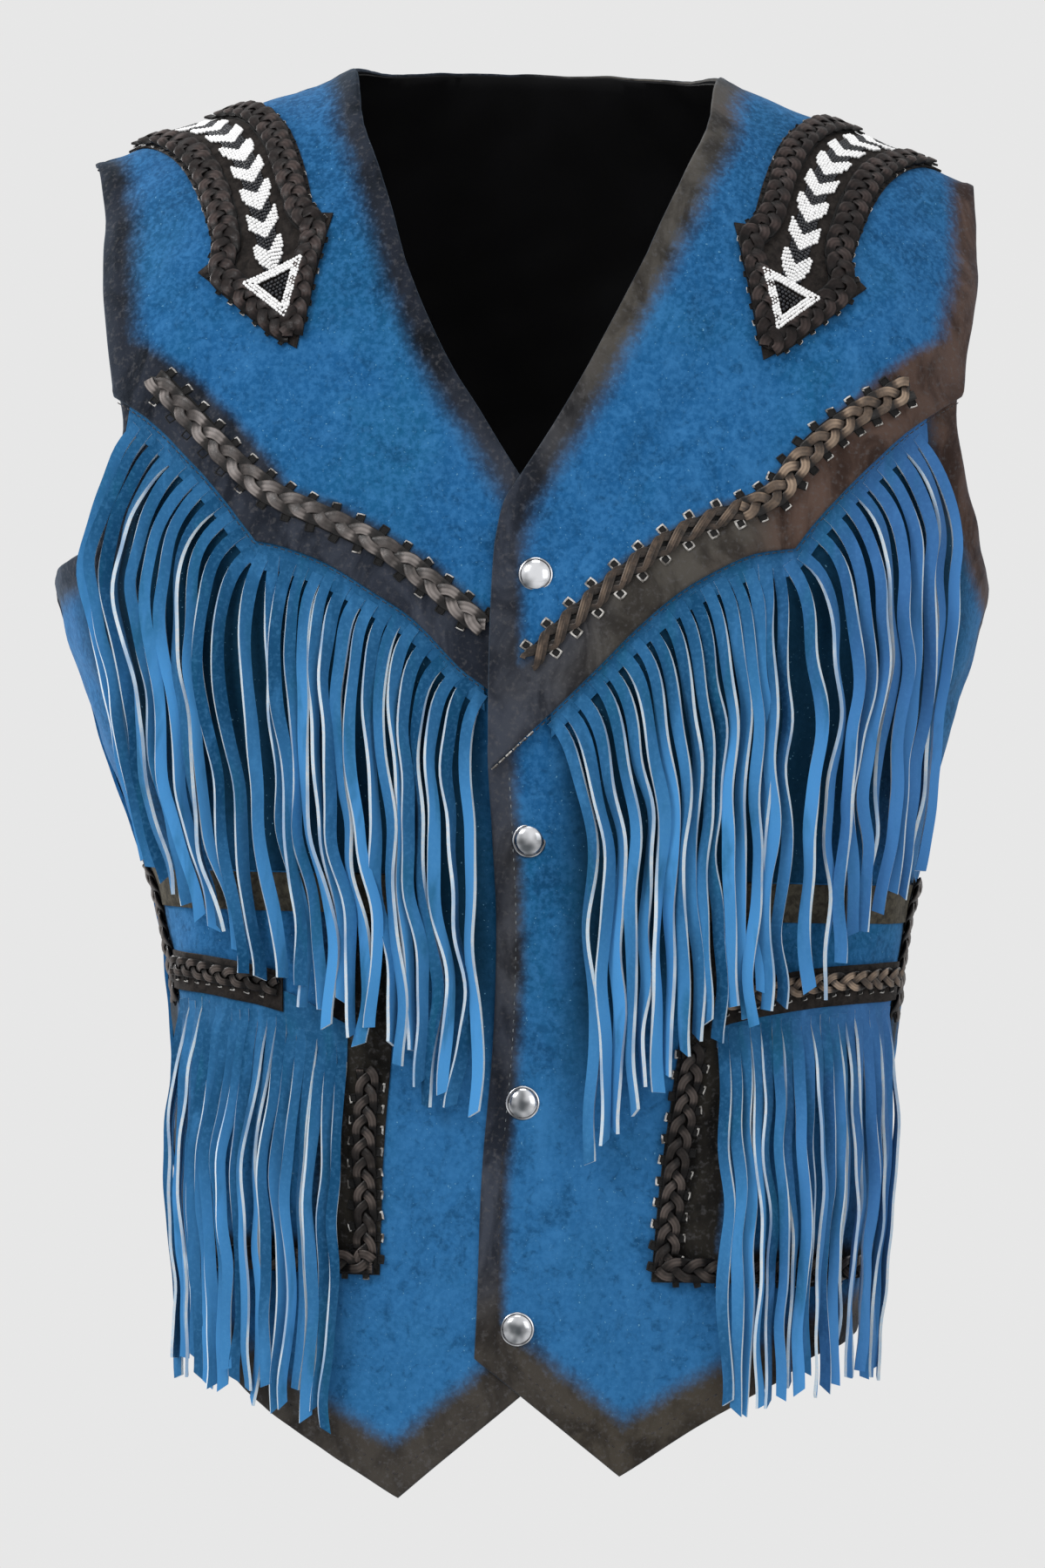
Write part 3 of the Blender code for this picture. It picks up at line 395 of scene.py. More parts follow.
def curved(points, per_span=3):
    """A smooth line through points, as a list of pairs."""
    points = np.array(points, float)
    result = [tuple(points[0])]
    shares = (np.arange(per_span) + 1) / per_span
    for i in range(len(points) - 1):
        start, end = points[i], points[i + 1]
        before, after = points[max(i - 1, 0)], points[min(i + 2, len(points) - 1)]
        first = start + (end - before) / 6
        second = end - (after - start) / 6
        for t in shares:
            p = (1 - t) ** 3 * start + 3 * (1 - t) ** 2 * t * first + 3 * (1 - t) * t**2 * second + t**3 * end
            result.append((float(p[0]), float(p[1])))
    return result


def stepped(points, step):
    """The same line with points at most a step apart, its corners kept."""
    result = [tuple(points[0])]
    for (x0, y0), (x1, y1) in zip(points, points[1:]):
        parts = max(1, math.ceil(math.hypot(x1 - x0, y1 - y0) / step))
        result += [(x0 + (x1 - x0) * k / parts, y0 + (y1 - y0) * k / parts) for k in range(1, parts + 1)]
    return result


class Line:
    """A line of cloth places by its length, measured on the cloth."""

    def __init__(self, points):
        self.points = np.array(stepped(points, 0.002), float)
        space, _ = lay(self.points[:, 0], self.points[:, 1], 0.0)
        steps = np.linalg.norm(np.diff(space, axis=0), axis=1)
        self.at = np.concatenate([[0.0], np.cumsum(steps)])
        self.length = float(self.at[-1])

    def __call__(self, s, aside=0.0):
        """Places at lengths s along the line, moved aside to its left."""
        s, aside = np.broadcast_arrays(np.asarray(s, float), np.asarray(aside, float))
        middle = self.middle(s)
        way = unit(self.middle(s + 0.003) - self.middle(s - 0.003))
        return middle + np.stack([-way[..., 1], way[..., 0]], -1) * aside[..., None]

    def middle(self, s):
        """Places on the line, which runs on straight past its ends."""
        inside = np.clip(s, 0, self.length)
        first = unit(self.points[1] - self.points[0])
        last = unit(self.points[-1] - self.points[-2])
        place = np.stack([np.interp(inside, self.at, self.points[:, k]) for k in (0, 1)], -1)
        return place + np.minimum(s, 0)[..., None] * first + np.maximum(s - self.length, 0)[..., None] * last


def distance_to(points, line):
    """The distance of each point to a line through corners."""
    line = np.array(line, float)
    start, way = line[:-1], line[1:] - line[:-1]
    square = np.maximum((way**2).sum(1), 1e-14)
    nearest = np.full(len(points), np.inf)
    for begin, step, size in zip(start, way, square):
        t = np.clip(((points - begin) @ step) / size, 0, 1)
        nearest = np.minimum(nearest, np.linalg.norm(points - begin - t[:, None] * step, axis=1))
    return nearest


def inside(ring, points):
    """Which points lie in a ring."""
    x, y = points[:, 0], points[:, 1]
    found = np.zeros(len(points), bool)
    for (x0, y0), (x1, y1) in zip(ring, np.roll(ring, -1, axis=0)):
        if y0 != y1:
            found ^= ((y0 > y) != (y1 > y)) & (x < x0 + (y - y0) * (x1 - x0) / (y1 - y0))
    return found


def ring_area(ring):
    x, y = ring[:, 0], ring[:, 1]
    return float((x * np.roll(y, -1) - np.roll(x, -1) * y).sum() / 2)


# Meshes

class Batch:
    """Points and faces of a joined mesh, with a float per point for each named attribute."""

    def __init__(self, *names):
        self.points, self.faces, self.slots = [], [], []
        self.values = {name: [] for name in names}
        self.count = 0

    def add(self, points, faces, slots=0, **values):
        points = np.asarray(points, float).reshape(-1, 3)
        faces = [tuple(int(i) + self.count for i in face) for face in faces]
        self.points.append(points)
        self.faces += faces
        self.slots += [slots] * len(faces) if isinstance(slots, int) else list(slots)
        for name, stored in self.values.items():
            stored.append(np.broadcast_to(np.asarray(values.get(name, 0.0), float), (len(points),)))
        self.count += len(points)

    def build(self, name, materials, sharp=40):
        mesh = bpy.data.meshes.new(name)
        mesh.from_pydata(np.concatenate(self.points).tolist(), [], self.faces)
        for entry in materials:
            mesh.materials.append(entry)
        mesh.polygons.foreach_set("material_index", self.slots)
        for attribute, stored in self.values.items():
            made = mesh.attributes.new(attribute, "FLOAT", "POINT")
            made.data.foreach_set("value", np.concatenate(stored).astype(np.float32))
        mesh.shade_smooth()
        if sharp:
            mesh.set_sharp_from_angle(angle=math.radians(sharp))
        obj = bpy.data.objects.new(name, mesh)
        bpy.context.scene.collection.objects.link(obj)
        return obj


def tube_faces(rings, count):
    """Faces between rings of points, one after another."""
    faces = []
    for low in range(0, (rings - 1) * count, count):
        for k in range(count):
            other = (k + 1) % count
            faces.append((low + k, low + other, low + count + other, low + count + k))
    return faces


def closed_faces(rings, count):
    """The same with both ends closed."""
    last = (rings - 1) * count
    return tube_faces(rings, count) + [tuple(reversed(range(count))), tuple(last + k for k in range(count))]


def swept(path, aside, out, profile):
    """Points and faces of a closed profile of (aside, out) pairs swept along a path."""
    profile = np.broadcast_to(profile, (len(path), *np.shape(profile)[-2:]))
    points = path[:, None] + aside[:, None] * profile[..., 0:1] + out[:, None] * profile[..., 1:2]
    return points.reshape(-1, 3), closed_faces(len(path), profile.shape[1])


def finish_piece(obj, slot, *nodes):
    """The piece rides on the part's one body and stands for its nodes. Its slot is not used."""
    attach(obj, "root")
    if nodes:
        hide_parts(*nodes)
    return obj


# Materials

class Wiring:
    """A new material, and short ways to add nodes to it. Constants are set on the shader's own sockets."""

    def __init__(self, name, roughness, **sockets):
        self.made = bpy.data.materials.new(name)
        self.made.use_nodes = True
        self.tree = self.made.node_tree
        self.shader = self.tree.nodes["Principled BSDF"]
        self.feed(self.shader, Roughness=roughness, **sockets)
        self.place = self.node("ShaderNodeTexCoord").outputs["Object"]

    def node(self, kind, **settings):
        made = self.tree.nodes.new(kind)
        for key, value in settings.items():
            setattr(made, key, value)
        return made

    def join(self, value, socket):
        """Links an output to a socket, or sets a number or colour on it."""
        if isinstance(value, bpy.types.NodeSocket):
            self.tree.links.new(value, socket)
        else:
            socket.default_value = value

    def feed(self, made, **values):
        """Fills inputs of a node by name, with _ for a space."""
        for key, value in values.items():
            self.join(value, made.inputs[key.replace("_", " ")])
        return made

    def noise(self, scale, detail=2.0, roughness=0.5, stretch=None, distortion=0.0):
        place = self.place
        if stretch:
            place = self.feed(self.node("ShaderNodeMapping"), Vector=place, Scale=stretch).outputs["Vector"]
        made = self.node("ShaderNodeTexNoise")
        self.feed(made, Vector=place, Scale=scale, Detail=detail, Roughness=roughness, Distortion=distortion)
        return made.outputs["Fac"]

    def math(self, operation, *values):
        made = self.node("ShaderNodeMath", operation=operation)
        for socket, value in zip(made.inputs, values):
            self.join(value, socket)
        return made.outputs["Value"]

    def centred(self, noise, size):
        return self.math("MULTIPLY", self.math("SUBTRACT", noise, 0.5), size)

    def drifting(self, axis, noise, size):
        """The place along an axis, which wanders with a noise."""
        split = self.feed(self.node("ShaderNodeSeparateXYZ"), Vector=self.place)
        return self.math("ADD", split.outputs[axis], self.centred(noise, size))

    def spread(self, value, low, high, to_low=0.0, to_high=1.0, smooth=True):
        made = self.node("ShaderNodeMapRange", interpolation_type="SMOOTHSTEP" if smooth else "LINEAR")
        self.feed(made, Value=value, From_Min=low, From_Max=high, To_Min=to_low, To_Max=to_high)
        return made.outputs["Result"]

    def mix(self, share, first, second):
        made = self.node("ShaderNodeMix", data_type="RGBA")
        self.join(share, made.inputs["Factor"])
        for key, value in (("A", first), ("B", second)):
            socket = next(s for s in made.inputs if s.name == key and s.type == "RGBA")
            self.join((*value, 1.0) if isinstance(value, tuple) else value, socket)
        return next(s for s in made.outputs if s.type == "RGBA")

    def layered(self, colour, *layers):
        """A colour under others, each a row of (value, low, high, share at low, share at high, colour)."""
        for *reach, over in layers:
            colour = self.mix(self.spread(*reach), colour, over)
        return colour

    def attribute(self, name):
        return self.node("ShaderNodeAttribute", attribute_name=name).outputs["Fac"]

    def finish(self, colour, *bumps):
        """The material with its colour, and bumps of (height, strength, distance), one over the other."""
        self.feed(self.shader, Base_Color=colour)
        under = {}
        for height, strength, distance in bumps:
            made = self.node("ShaderNodeBump")
            self.feed(made, Height=height, Strength=strength, Distance=distance, **under)
            under = {"Normal": made.outputs["Normal"]}
        self.feed(self.shader, **under)
        return self.made


BLUE_DEEP = (0.003, 0.040, 0.108)
BLUE = (0.009, 0.082, 0.218)
BLUE_LIGHT = (0.036, 0.165, 0.370)
BLUE_TEAL = (0.006, 0.082, 0.180)
SHADED = (0.001, 0.016, 0.030)
SPECK = (0.14, 0.32, 0.46)
STRAND_VIOLET = (0.058, 0.150, 0.400)
STRAND_LOW = (0.004, 0.052, 0.130)
STRAND_HIGH = (0.062, 0.260, 0.560)
STRAND_TEAL = (0.008, 0.090, 0.175)
STRAND_FLECK = (0.075, 0.260, 0.500)
CUT_PALE = (0.46, 0.58, 0.68)
CUT_BLUE = (0.14, 0.27, 0.46)
CUT_FLECK = (0.60, 0.62, 0.63)
CHARCOAL_DEEP = (0.003, 0.004, 0.006)
CHARCOAL = (0.013, 0.016, 0.024)
CHARCOAL_LIGHT = (0.040, 0.046, 0.062)
GREY = (0.024, 0.021, 0.018)
GREY_LIGHT = (0.066, 0.060, 0.052)
BROWN = (0.028, 0.016, 0.012)
BROWN_LIGHT = (0.082, 0.052, 0.041)
OLIVE = (0.022, 0.018, 0.014)
OLIVE_LIGHT = (0.050, 0.042, 0.032)
# Dye of the dark edges: low down, then higher up, past the centre, at the wearer's left and at the hem.
EDGE_DARK = (CHARCOAL, CHARCOAL_DEEP, GREY, BROWN, OLIVE)
EDGE_PALE = (CHARCOAL_LIGHT, CHARCOAL, GREY_LIGHT, BROWN_LIGHT, OLIVE_LIGHT)
EDGE_SPECK = (0.095, 0.092, 0.095)
# Painted shade in the dips of a braid.
DIP_SHADE = (0.0015, 0.001, 0.001)


def suede(name, edges=None):
    """Brushed suede with airbrushed dark edges.

    The edges are charcoal towards the wearer's right and brown towards the left. The dye attribute is 0
    where the dark is full and 1 where it ends."""
    w = Wiring(name, 0.93, Sheen_Weight=0.10, Sheen_Roughness=0.45, Sheen_Tint=(0.45, 0.70, 1.0, 1.0),
               Specular_IOR_Level=0.10)
    wide = w.noise(11.0, 3.0, 0.55, distortion=0.4)
    brushed = w.noise(48.0, 4.0, 0.6, stretch=(1.0, 1.0, 0.6), distortion=0.8)
    middling = w.noise(150.0, 3.0, 0.65, distortion=0.6)
    fine = w.noise(420.0, 2.0, 0.6)
    nap = w.noise(1500.0, 2.0, 0.6)
    across, height = w.drifting("X", wide, 0.10), w.drifting("Z", wide, 0.12)
    colour = w.layered(
        BLUE,
        (wide, 0.42, 0.66, 0.0, 0.70, BLUE_TEAL),
        # Painted light makes the suede lighter low down, and painted shade darkens it near the shoulder.
        (height, -0.52, -0.36, 0.34, 0.0, BLUE_LIGHT),
        (height, -0.16, -0.02, 0.0, 0.60, BLUE_DEEP),
        (brushed, 0.50, 0.76, 0.0, 0.55, BLUE_LIGHT),
        (brushed, 0.24, 0.50, 0.70, 0.0, BLUE_DEEP),
        (middling, 0.52, 0.72, 0.0, 0.40, BLUE_LIGHT),
        (middling, 0.28, 0.48, 0.55, 0.0, BLUE_DEEP),
        (fine, 0.38, 0.66, 0.0, 0.40, BLUE_LIGHT),
    )
    # Painted shade from the shade attribute: under the chest fringe, and in the creases of the back and sides.
    colour = w.mix(w.spread(w.attribute("shade"), 0.0, 1.0, 0.0, 0.92, smooth=False), colour, SHADED)
    colour = w.layered(colour, (w.noise(900.0, 1.0, 0.5), 0.735, 0.775, 0.0, 0.70, SPECK))
    if not edges:
        reaches = [(height, -0.30, -0.10, 0.0, 1.0), (across, -0.02, 0.05, 0.0, 1.0),
                   (across, 0.080, 0.125, 0.0, 1.0), (height, -0.62, -0.56, 0.85, 0.0)]
        edges = [w.layered(tones[0], *((*reach, tone) for reach, tone in zip(reaches, tones[1:])))
                 for tones in (EDGE_DARK, EDGE_PALE)]
    band = w.mix(w.spread(brushed, 0.34, 0.62), *edges)
    band = w.layered(band, (fine, 0.50, 0.75, 0.0, 0.35, EDGE_SPECK))
    dye = w.math("ADD", w.attribute("dye"), w.math("ADD", w.centred(brushed, 0.9), w.centred(fine, 0.5)))
    colour = w.mix(w.spread(dye, -0.15, 1.10, 1.0, 0.0), colour, band)
    return w.finish(colour, (brushed, 0.25, 0.0012), (fine, 0.35, 0.0005), (nap, 0.45, 0.0002))


def flesh_side():
    """The dark inner side of the cloth."""
    w = Wiring("suede_inside", 0.9, Specular_IOR_Level=0.15)
    fine = w.noise(700.0, 3.0, 0.6)
    return w.finish(w.mix(w.spread(fine, 0.3, 0.7), (0.006, 0.007, 0.010), (0.016, 0.018, 0.022)),
                    (fine, 0.4, 0.0004))


def strand_face():
    """The dyed side of a strand, whose tone attribute is 0 in the dark strands and 1 in the pale ones, and is
    lowered near the roots as painted shade.
    """
    w = Wiring("fringe_face", 0.88, Sheen_Weight=0.12, Sheen_Roughness=0.4, Sheen_Tint=(0.5, 0.75, 1.0, 1.0),
               Specular_IOR_Level=0.12)
    long = w.noise(70.0, 3.0, 0.6, stretch=(1.0, 1.0, 0.25), distortion=0.3)
    fine = w.noise(500.0, 2.0, 0.6)
    colour = w.mix(w.spread(w.attribute("tone"), 0.0, 1.0, smooth=False), STRAND_LOW, STRAND_HIGH)
    colour = w.layered(
        colour,
        (long, 0.30, 0.50, 0.60, 0.0, STRAND_TEAL),
        (long, 0.54, 0.75, 0.0, 0.30, STRAND_HIGH),
        (fine, 0.42, 0.75, 0.0, 0.20, STRAND_FLECK),
        (w.drifting("X", long, 0.10), 0.10, 0.19, 0.0, 0.42, STRAND_VIOLET),
    )
    return w.finish(colour, (long, 0.2, 0.0010), (fine, 0.35, 0.0004))


def strand_cut():
    """The pale undyed core that shows along a cut edge."""
    w = Wiring("fringe_cut", 0.85, Specular_IOR_Level=0.2)
    fine = w.noise(600.0, 3.0, 0.6)
    long = w.noise(90.0, 2.0, 0.5, stretch=(1.0, 1.0, 0.3))
    colour = w.layered(
        CUT_PALE,
        (fine, 0.35, 0.75, 0.0, 1.0, CUT_FLECK),
        (long, 0.34, 0.54, 0.65, 0.0, CUT_BLUE),
    )
    return w.finish(colour, (fine, 0.4, 0.0003))


def leather(name, dark, light, roughness, wear_and_highlight=None, gloss=0.32, coat=0.06):
    """Smooth leather. A braid's attribute is 0 in its dips, painted near black as shade, and 1 on its crowns,
    painted lighter as real wear and a highlight.
    """
    w = Wiring(name, roughness, Specular_IOR_Level=gloss, Coat_Weight=coat, Coat_Roughness=0.3)
    streak = w.noise(260.0, 3.0, 0.65, distortion=0.5)
    grain = w.noise(1300.0, 2.0, 0.6)
    colour = w.mix(w.spread(streak, 0.32, 0.68), dark, light)
    if wear_and_highlight:
        wear = w.attribute("wear")
        patchy = w.spread(w.noise(75.0, 2.0, 0.5), 0.36, 0.62, 0.10, 0.75)
        # Crowns lighter with wear and a painted highlight, and dips near black with painted shade.
        colour = w.mix(w.math("MULTIPLY", w.spread(wear, 0.45, 1.0), patchy), colour, wear_and_highlight)
        colour = w.layered(colour, (wear, 0.0, 0.50, 0.95, 0.0, DIP_SHADE))
    w.feed(w.shader, Roughness=w.spread(grain, 0.3, 0.7, roughness - 0.08, roughness + 0.12))
    return w.finish(colour, (streak, 0.30, 0.0005), (grain, 0.25, 0.00015))


def plain_fine(name, low, high, roughness, scale, **sockets):
    """A material whose colour and height vary with one fine noise."""
    w = Wiring(name, roughness, **sockets)
    fine = w.noise(scale, 2.0, 0.6)
    return w.finish(w.mix(w.spread(fine, 0.35, 0.65), low, high), (fine, 0.2, 0.0001))


def satin():
    """Black satin lining with a fine twill."""
    w = Wiring("lining_satin", 0.6, Specular_IOR_Level=0.12)
    weave = w.node("ShaderNodeTexWave", wave_type="BANDS", bands_direction="DIAGONAL")
    w.feed(weave, Vector=w.place, Scale=900.0)
    broad = w.spread(w.noise(20.0, 2.0), 0.3, 0.7)
    return w.finish(w.mix(broad, (0.0012, 0.0012, 0.0015), (0.0028, 0.0028, 0.0034)),
                    (weave.outputs["Fac"], 0.1, 0.0001))


SUEDE = suede("suede_blue")
# The pocket patch's edges are near black: real dye, deepened with painted shade from the pocket fringe.
SUEDE_POCKET = suede("suede_pocket", [(0.004, 0.0035, 0.003), (0.018, 0.016, 0.013)])
INSIDE = flesh_side()
STRAND_FACE = strand_face()
STRAND_CUT = strand_cut()
LACE_DARK = leather("lace_dark", (0.010, 0.008, 0.007), (0.036, 0.029, 0.027), 0.42, (0.30, 0.265, 0.25))
LACE_TAN = leather("lace_tan", (0.020, 0.013, 0.009), (0.075, 0.050, 0.034), 0.42, (0.40, 0.29, 0.205))
LACE_ARROW = leather("lace_arrow", (0.003, 0.002, 0.002), (0.009, 0.006, 0.0055), 0.40, (0.066, 0.047, 0.043),
                     gloss=0.16, coat=0.01)
LACE_BLACK = leather("lace_black", (0.003, 0.002, 0.002), (0.010, 0.008, 0.007), 0.36, (0.110, 0.088, 0.078),
                     gloss=0.16, coat=0.01)
LEATHER_BROWN = leather("leather_brown", (0.006, 0.0045, 0.004), (0.020, 0.016, 0.014), 0.75,
                        gloss=0.15, coat=0.0)
LEATHER_OLIVE = leather("leather_olive", (0.026, 0.023, 0.017), (0.070, 0.062, 0.045), 0.75,
                        gloss=0.15, coat=0.0)
LINING = satin()
# Near black: the painted shade inside punched holes and in a braid's gaps.
HOLE_SHADE = plain_fine("lace_hole", (0.0015, 0.0015, 0.0015), (0.004, 0.0035, 0.0035), 0.9, 900.0)
RIM = plain_fine("lace_hole_rim", (0.10, 0.09, 0.08), (0.60, 0.58, 0.55), 0.7, 300.0)
THREAD = plain_fine("thread_pale", (0.07, 0.085, 0.095), (0.22, 0.24, 0.25), 0.7, 500.0)
THREAD_DARK = plain_fine("thread_dark", (0.010, 0.009, 0.009), (0.035, 0.030, 0.030), 0.7, 1500.0)
BEAD_WHITE = plain_fine("bead_white", (0.74, 0.74, 0.74), (0.82, 0.82, 0.82), 0.22, 700.0, Coat_Weight=0.3)
BEAD_DARK = plain_fine("bead_dark", (0.002, 0.0025, 0.004), (0.008, 0.010, 0.016), 0.35, 700.0,
                       Coat_Weight=0.05)
# The big dark and pale patches on the snap metal are painted reflections.
METAL = plain_fine("snap_metal", (0.10, 0.11, 0.12), (0.86, 0.87, 0.90), 0.16, 75.0, Metallic=1.0)
METAL_RIM = plain_fine("snap_rim", (0.05, 0.05, 0.055), (0.16, 0.16, 0.17), 0.30, 400.0, Metallic=1.0)


# Layers

def yoke_height(side):
    """The yoke edge's height by place across."""
    return Curve([cloth_place(x, z) for x, z in YOKE_OUTER[side] + YOKE_INNER[side][1:]])


YOKE_HEIGHT = {side: yoke_height(side) for side in (-1, 1)}
LAP = WALL + FRINGE + 0.0010


def yoke_lap(side, across, up):
    """How far the yoke stands up to clear the fringe and the lower front under its edge."""
    above = up - YOKE_HEIGHT[side](across)
    return LAP * (1 - ramp(above, 0.042, 0.085))


def front_lap(across, up):
    """How far the left front stands up to pass over the right one, and over the right yoke's edge."""
    above = up - YOKE_HEIGHT[-1](across)
    under = WALL + GAP + (LAP + 0.0010) * ramp(above, -0.070, -0.032) * (1 - ramp(above, 0.050, 0.095))
    return under * (1 - ramp(across, FRONT_EDGE[-1] + 0.028, FRONT_EDGE[-1] + 0.062))


def flush(across, up):
    return 0.0 * across


def lower_lift(side):
    return flush if side < 0 else front_lap


def yoke_lift(side):
    base = lower_lift(side)
    return lambda a, u: base(a, u) + yoke_lap(side, a, u)


def raised(lift, extra):
    return lambda a, u: lift(a, u) + extra


# Outlines

def front_armhole(side):
    places = [shoulder_place(side * SHOULDER_TIP)] + on_front(FRONT_ARMHOLE[side])
    places.append((side * (SIDE_SEAM - GAP / 2), UNDERARM))
    return curved(places, 4)


def neckline(side):
    return curved([shoulder_place(side * NECK_POINT)] + on_front(NECKLINE[side]), 4)


def yoke_edge(side):
    """The yoke's lower edge from the armhole to the front edge."""
    return on_front(curved(YOKE_OUTER[side], 3) + curved(YOKE_INNER[side], 3)[1:])


def hem(side):
    """The hem of a front from its front edge, round its point, to the side seam."""
    point = cloth_place(*HEM_POINT[side])
    start = cloth_place(FRONT_EDGE[side], HEM_FOOT[side])
    seam = (side * (SIDE_SEAM - GAP / 2), SIDE_HEM)
    return [start] + curved([point] + on_front(HEM_RISE[side]) + [seam], 4)


def mirrored(points):
    return [(-x, z) for x, z in points]


def back_armhole(side, margin):
    shape = BACK_ARMHOLE if side > 0 else mirrored(BACK_ARMHOLE)
    places = [shoulder_place(side * SHOULDER_TIP, behind=True)] + on_back(shape)
    places.append((SIDE_SEAM + margin if side > 0 else FAR_SIDE_SEAM - margin, UNDERARM))
    return curved(places, 4)


# Cloth

class Cut:
    """A cut piece of cloth: its ring of places, its finished edges and the edges that are dyed dark.

    finished is a list of lines whose edge is turned under, dyed a list of (line, full width, fade width), and
    shade a function that gives the painted shade of places."""

    def __init__(self, ring, finished=(), dyed=(), shade=None):
        ring = np.array(stepped(list(ring) + [ring[0]], 0.0036)[:-1], float)
        keep = np.linalg.norm(ring - np.roll(ring, 1, axis=0), axis=1) > 2e-4
        self.ring = ring[keep] if ring_area(ring[keep]) > 0 else ring[keep][::-1]
        self.finished, self.dyed, self.shade = finished, dyed, shade

    def inward(self):
        way = unit(np.roll(self.ring, -1, axis=0) - np.roll(self.ring, 1, axis=0))
        return np.stack([-way[:, 1], way[:, 0]], -1)

    def fill(self, grid):
        """Places within the ring: rows along the edges, then an even grid."""
        rows, around = [], np.vstack([self.ring, self.ring[:1]])
        if self.finished:
            for depth in (EDGE_ROW, TURNED * 0.5, TURNED - EDGE_ROW, TURNED, TURNED + EDGE_ROW):
                line = self.ring + self.inward() * depth
                line = line[inside(self.ring, line)]
                rows.append(line[distance_to(line, around) > depth * 0.93])
        low, high = self.ring.min(0), self.ring.max(0)
        tall = grid * math.sqrt(0.75)
        spots = []
        for j in range(int((high[1] - low[1]) / tall) + 1):
            xs = np.arange(low[0] + (j % 2) * grid / 2, high[0], grid)
            spots.append(np.stack([xs, np.full(len(xs), low[1] + j * tall)], -1))
        spots = np.concatenate(spots)
        spots = spots[inside(self.ring, spots)]
        margin = TURNED + EDGE_ROW + grid * 0.5 if self.finished else grid * 0.55
        rows.append(spots[distance_to(spots, around) > margin])
        return np.concatenate(rows)

    def dye(self, places):
        value = np.full(len(places), 4.0)
        for line, full, fade in self.dyed:
            value = np.minimum(value, (distance_to(places, line) - full) / fade)
        return np.maximum(value, -3.0)

    def turn(self, places):
        """Extra height of the turned edge, with the row of stitches pressed in just inside it."""
        if not self.finished:
            return np.zeros(len(places))
        far = np.min([distance_to(places, line) for line in self.finished], axis=0)
        full = TURNED_RISE * (1 - ramp(far, TURNED - EDGE_ROW, TURNED + EDGE_ROW))
        return full - TURNED_RISE / 2 * (1 - ramp(far, 0.0, 0.0014))


def triangulated(cut, grid):
    """The places of a cut, its triangles and the edges round it."""
    count = len(cut.ring)
    flat = np.concatenate([cut.ring, cut.fill(grid)]).tolist()
    edges = [(i, (i + 1) % count) for i in range(count)]
    verts, _, triangles, _, _, _ = delaunay_2d_cdt([Vector(p) for p in flat], edges, [], 0, 1e-6)
    places = np.array([tuple(v) for v in verts])
    triangles = np.array([t for t in triangles if len(t) == 3])
    triangles = triangles[inside(cut.ring, places[triangles].mean(1))].tolist()
    sides = dict.fromkeys((a, b) for t in triangles for a, b in zip(t, t[1:] + t[:1]))
    return places, triangles, [edge for edge in sides if edge[::-1] not in sides]


def both_sides(triangles, total):
    """Faces of the outer side, whose points follow the inner ones, and then of the inner side."""
    outer = [(a + total, b + total, c + total) for a, b, c in triangles]
    return outer + [(c, b, a) for a, b, c in triangles]


def cloth_piece(name, cut, lift, thickness, grid=CLOTH_GRID, materials=None):
    """A thin closed shell over a cut, with rounded edges."""
    places, triangles, rim_edges = triangulated(cut, grid)
    total = len(places)
    level = lift(*places.T)
    inner, _ = lay(*places.T, level)
    outer, _ = lay(*places.T, level + thickness + cut.turn(places))
    follow = dict(rim_edges)
    came = {b: a for a, b in rim_edges}
    rim = sorted(follow)
    way = unit(places[[follow.get(i, i) for i in rim]] - places[[came.get(i, i) for i in rim]])
    bulge = places[rim] + np.stack([way[:, 1], -way[:, 0]], -1) * thickness * 0.30
    middle, _ = lay(*bulge.T, level[rim] + thickness * 0.5)
    at_rim = {i: 2 * total + k for k, i in enumerate(rim)}
    faces = both_sides(triangles, total)
    for a, b in rim_edges:
        faces.append((a, b, at_rim[b], at_rim[a]))
        faces.append((at_rim[a], at_rim[b], b + total, a + total))
    slots = [0] * len(triangles) + [1] * len(triangles) + [0] * (2 * len(rim_edges))
    # Painted shade in the crease troughs of the back and sides.
    trough = np.clip(-relief(*places.T) / CREASE_DEEP, 0, 1)
    shade = CREASE_SHADE * trough * ramp(np.abs(places[:, 0]), 0.24, 0.31)
    if cut.shade:
        shade = shade + cut.shade(places)
    values = {"dye": cut.dye(places), "shade": shade}
    batch = Batch(*values)
    batch.add(np.concatenate([inner, outer, middle]), faces, slots,
              **{key: np.concatenate([value, value, value[rim]]) for key, value in values.items()})
    return batch.build(name, materials or [SUEDE, INSIDE], sharp=60)


def declare(obj, cut, with_pieces=()):
    """Works out the flat size of a cut and drops it. The piece is not used."""
    ring_area(cut.ring)


def laid_piece(name, node, slot, cut, lift, thickness, materials, grid=CLOTH_GRID):
    """A patch, trim or lining that lies on another piece."""
    piece = cloth_piece(name, cut, lift, thickness, grid, materials)
    finish_piece(piece, slot, node)
    declare(piece, cut)


# Dyed edges: full width, and the width in which the dye fades.
PLACKET_DYE = (0.0095, 0.0065)
NECK_DYE = (0.0080, 0.0120)
ARMHOLE_DYE = (0.0110, 0.0110)
HEM_DYE = (0.0170, 0.0100)
YOKE_DYE = (0.0225, 0.0060)
SIDE_DYE = (-0.0020, 0.0110)
# How dark the painted shade under the chest fringe is.
COVERED_SHADE = 0.95


def under_fringe(side):
    """Painted shade on the lower front where the chest fringe covers it."""

    def shade(places):
        below = YOKE_HEIGHT[side](places[:, 0]) - places[:, 1]
        reach = ramp(below, -0.02, 0.01) * (1 - ramp(below, 0.14, 0.21))
        aside = ramp(side * places[:, 0], 0.005, 0.03) * (1 - ramp(side * places[:, 0], 0.195, 0.225))
        return COVERED_SHADE * reach * aside

    return shade


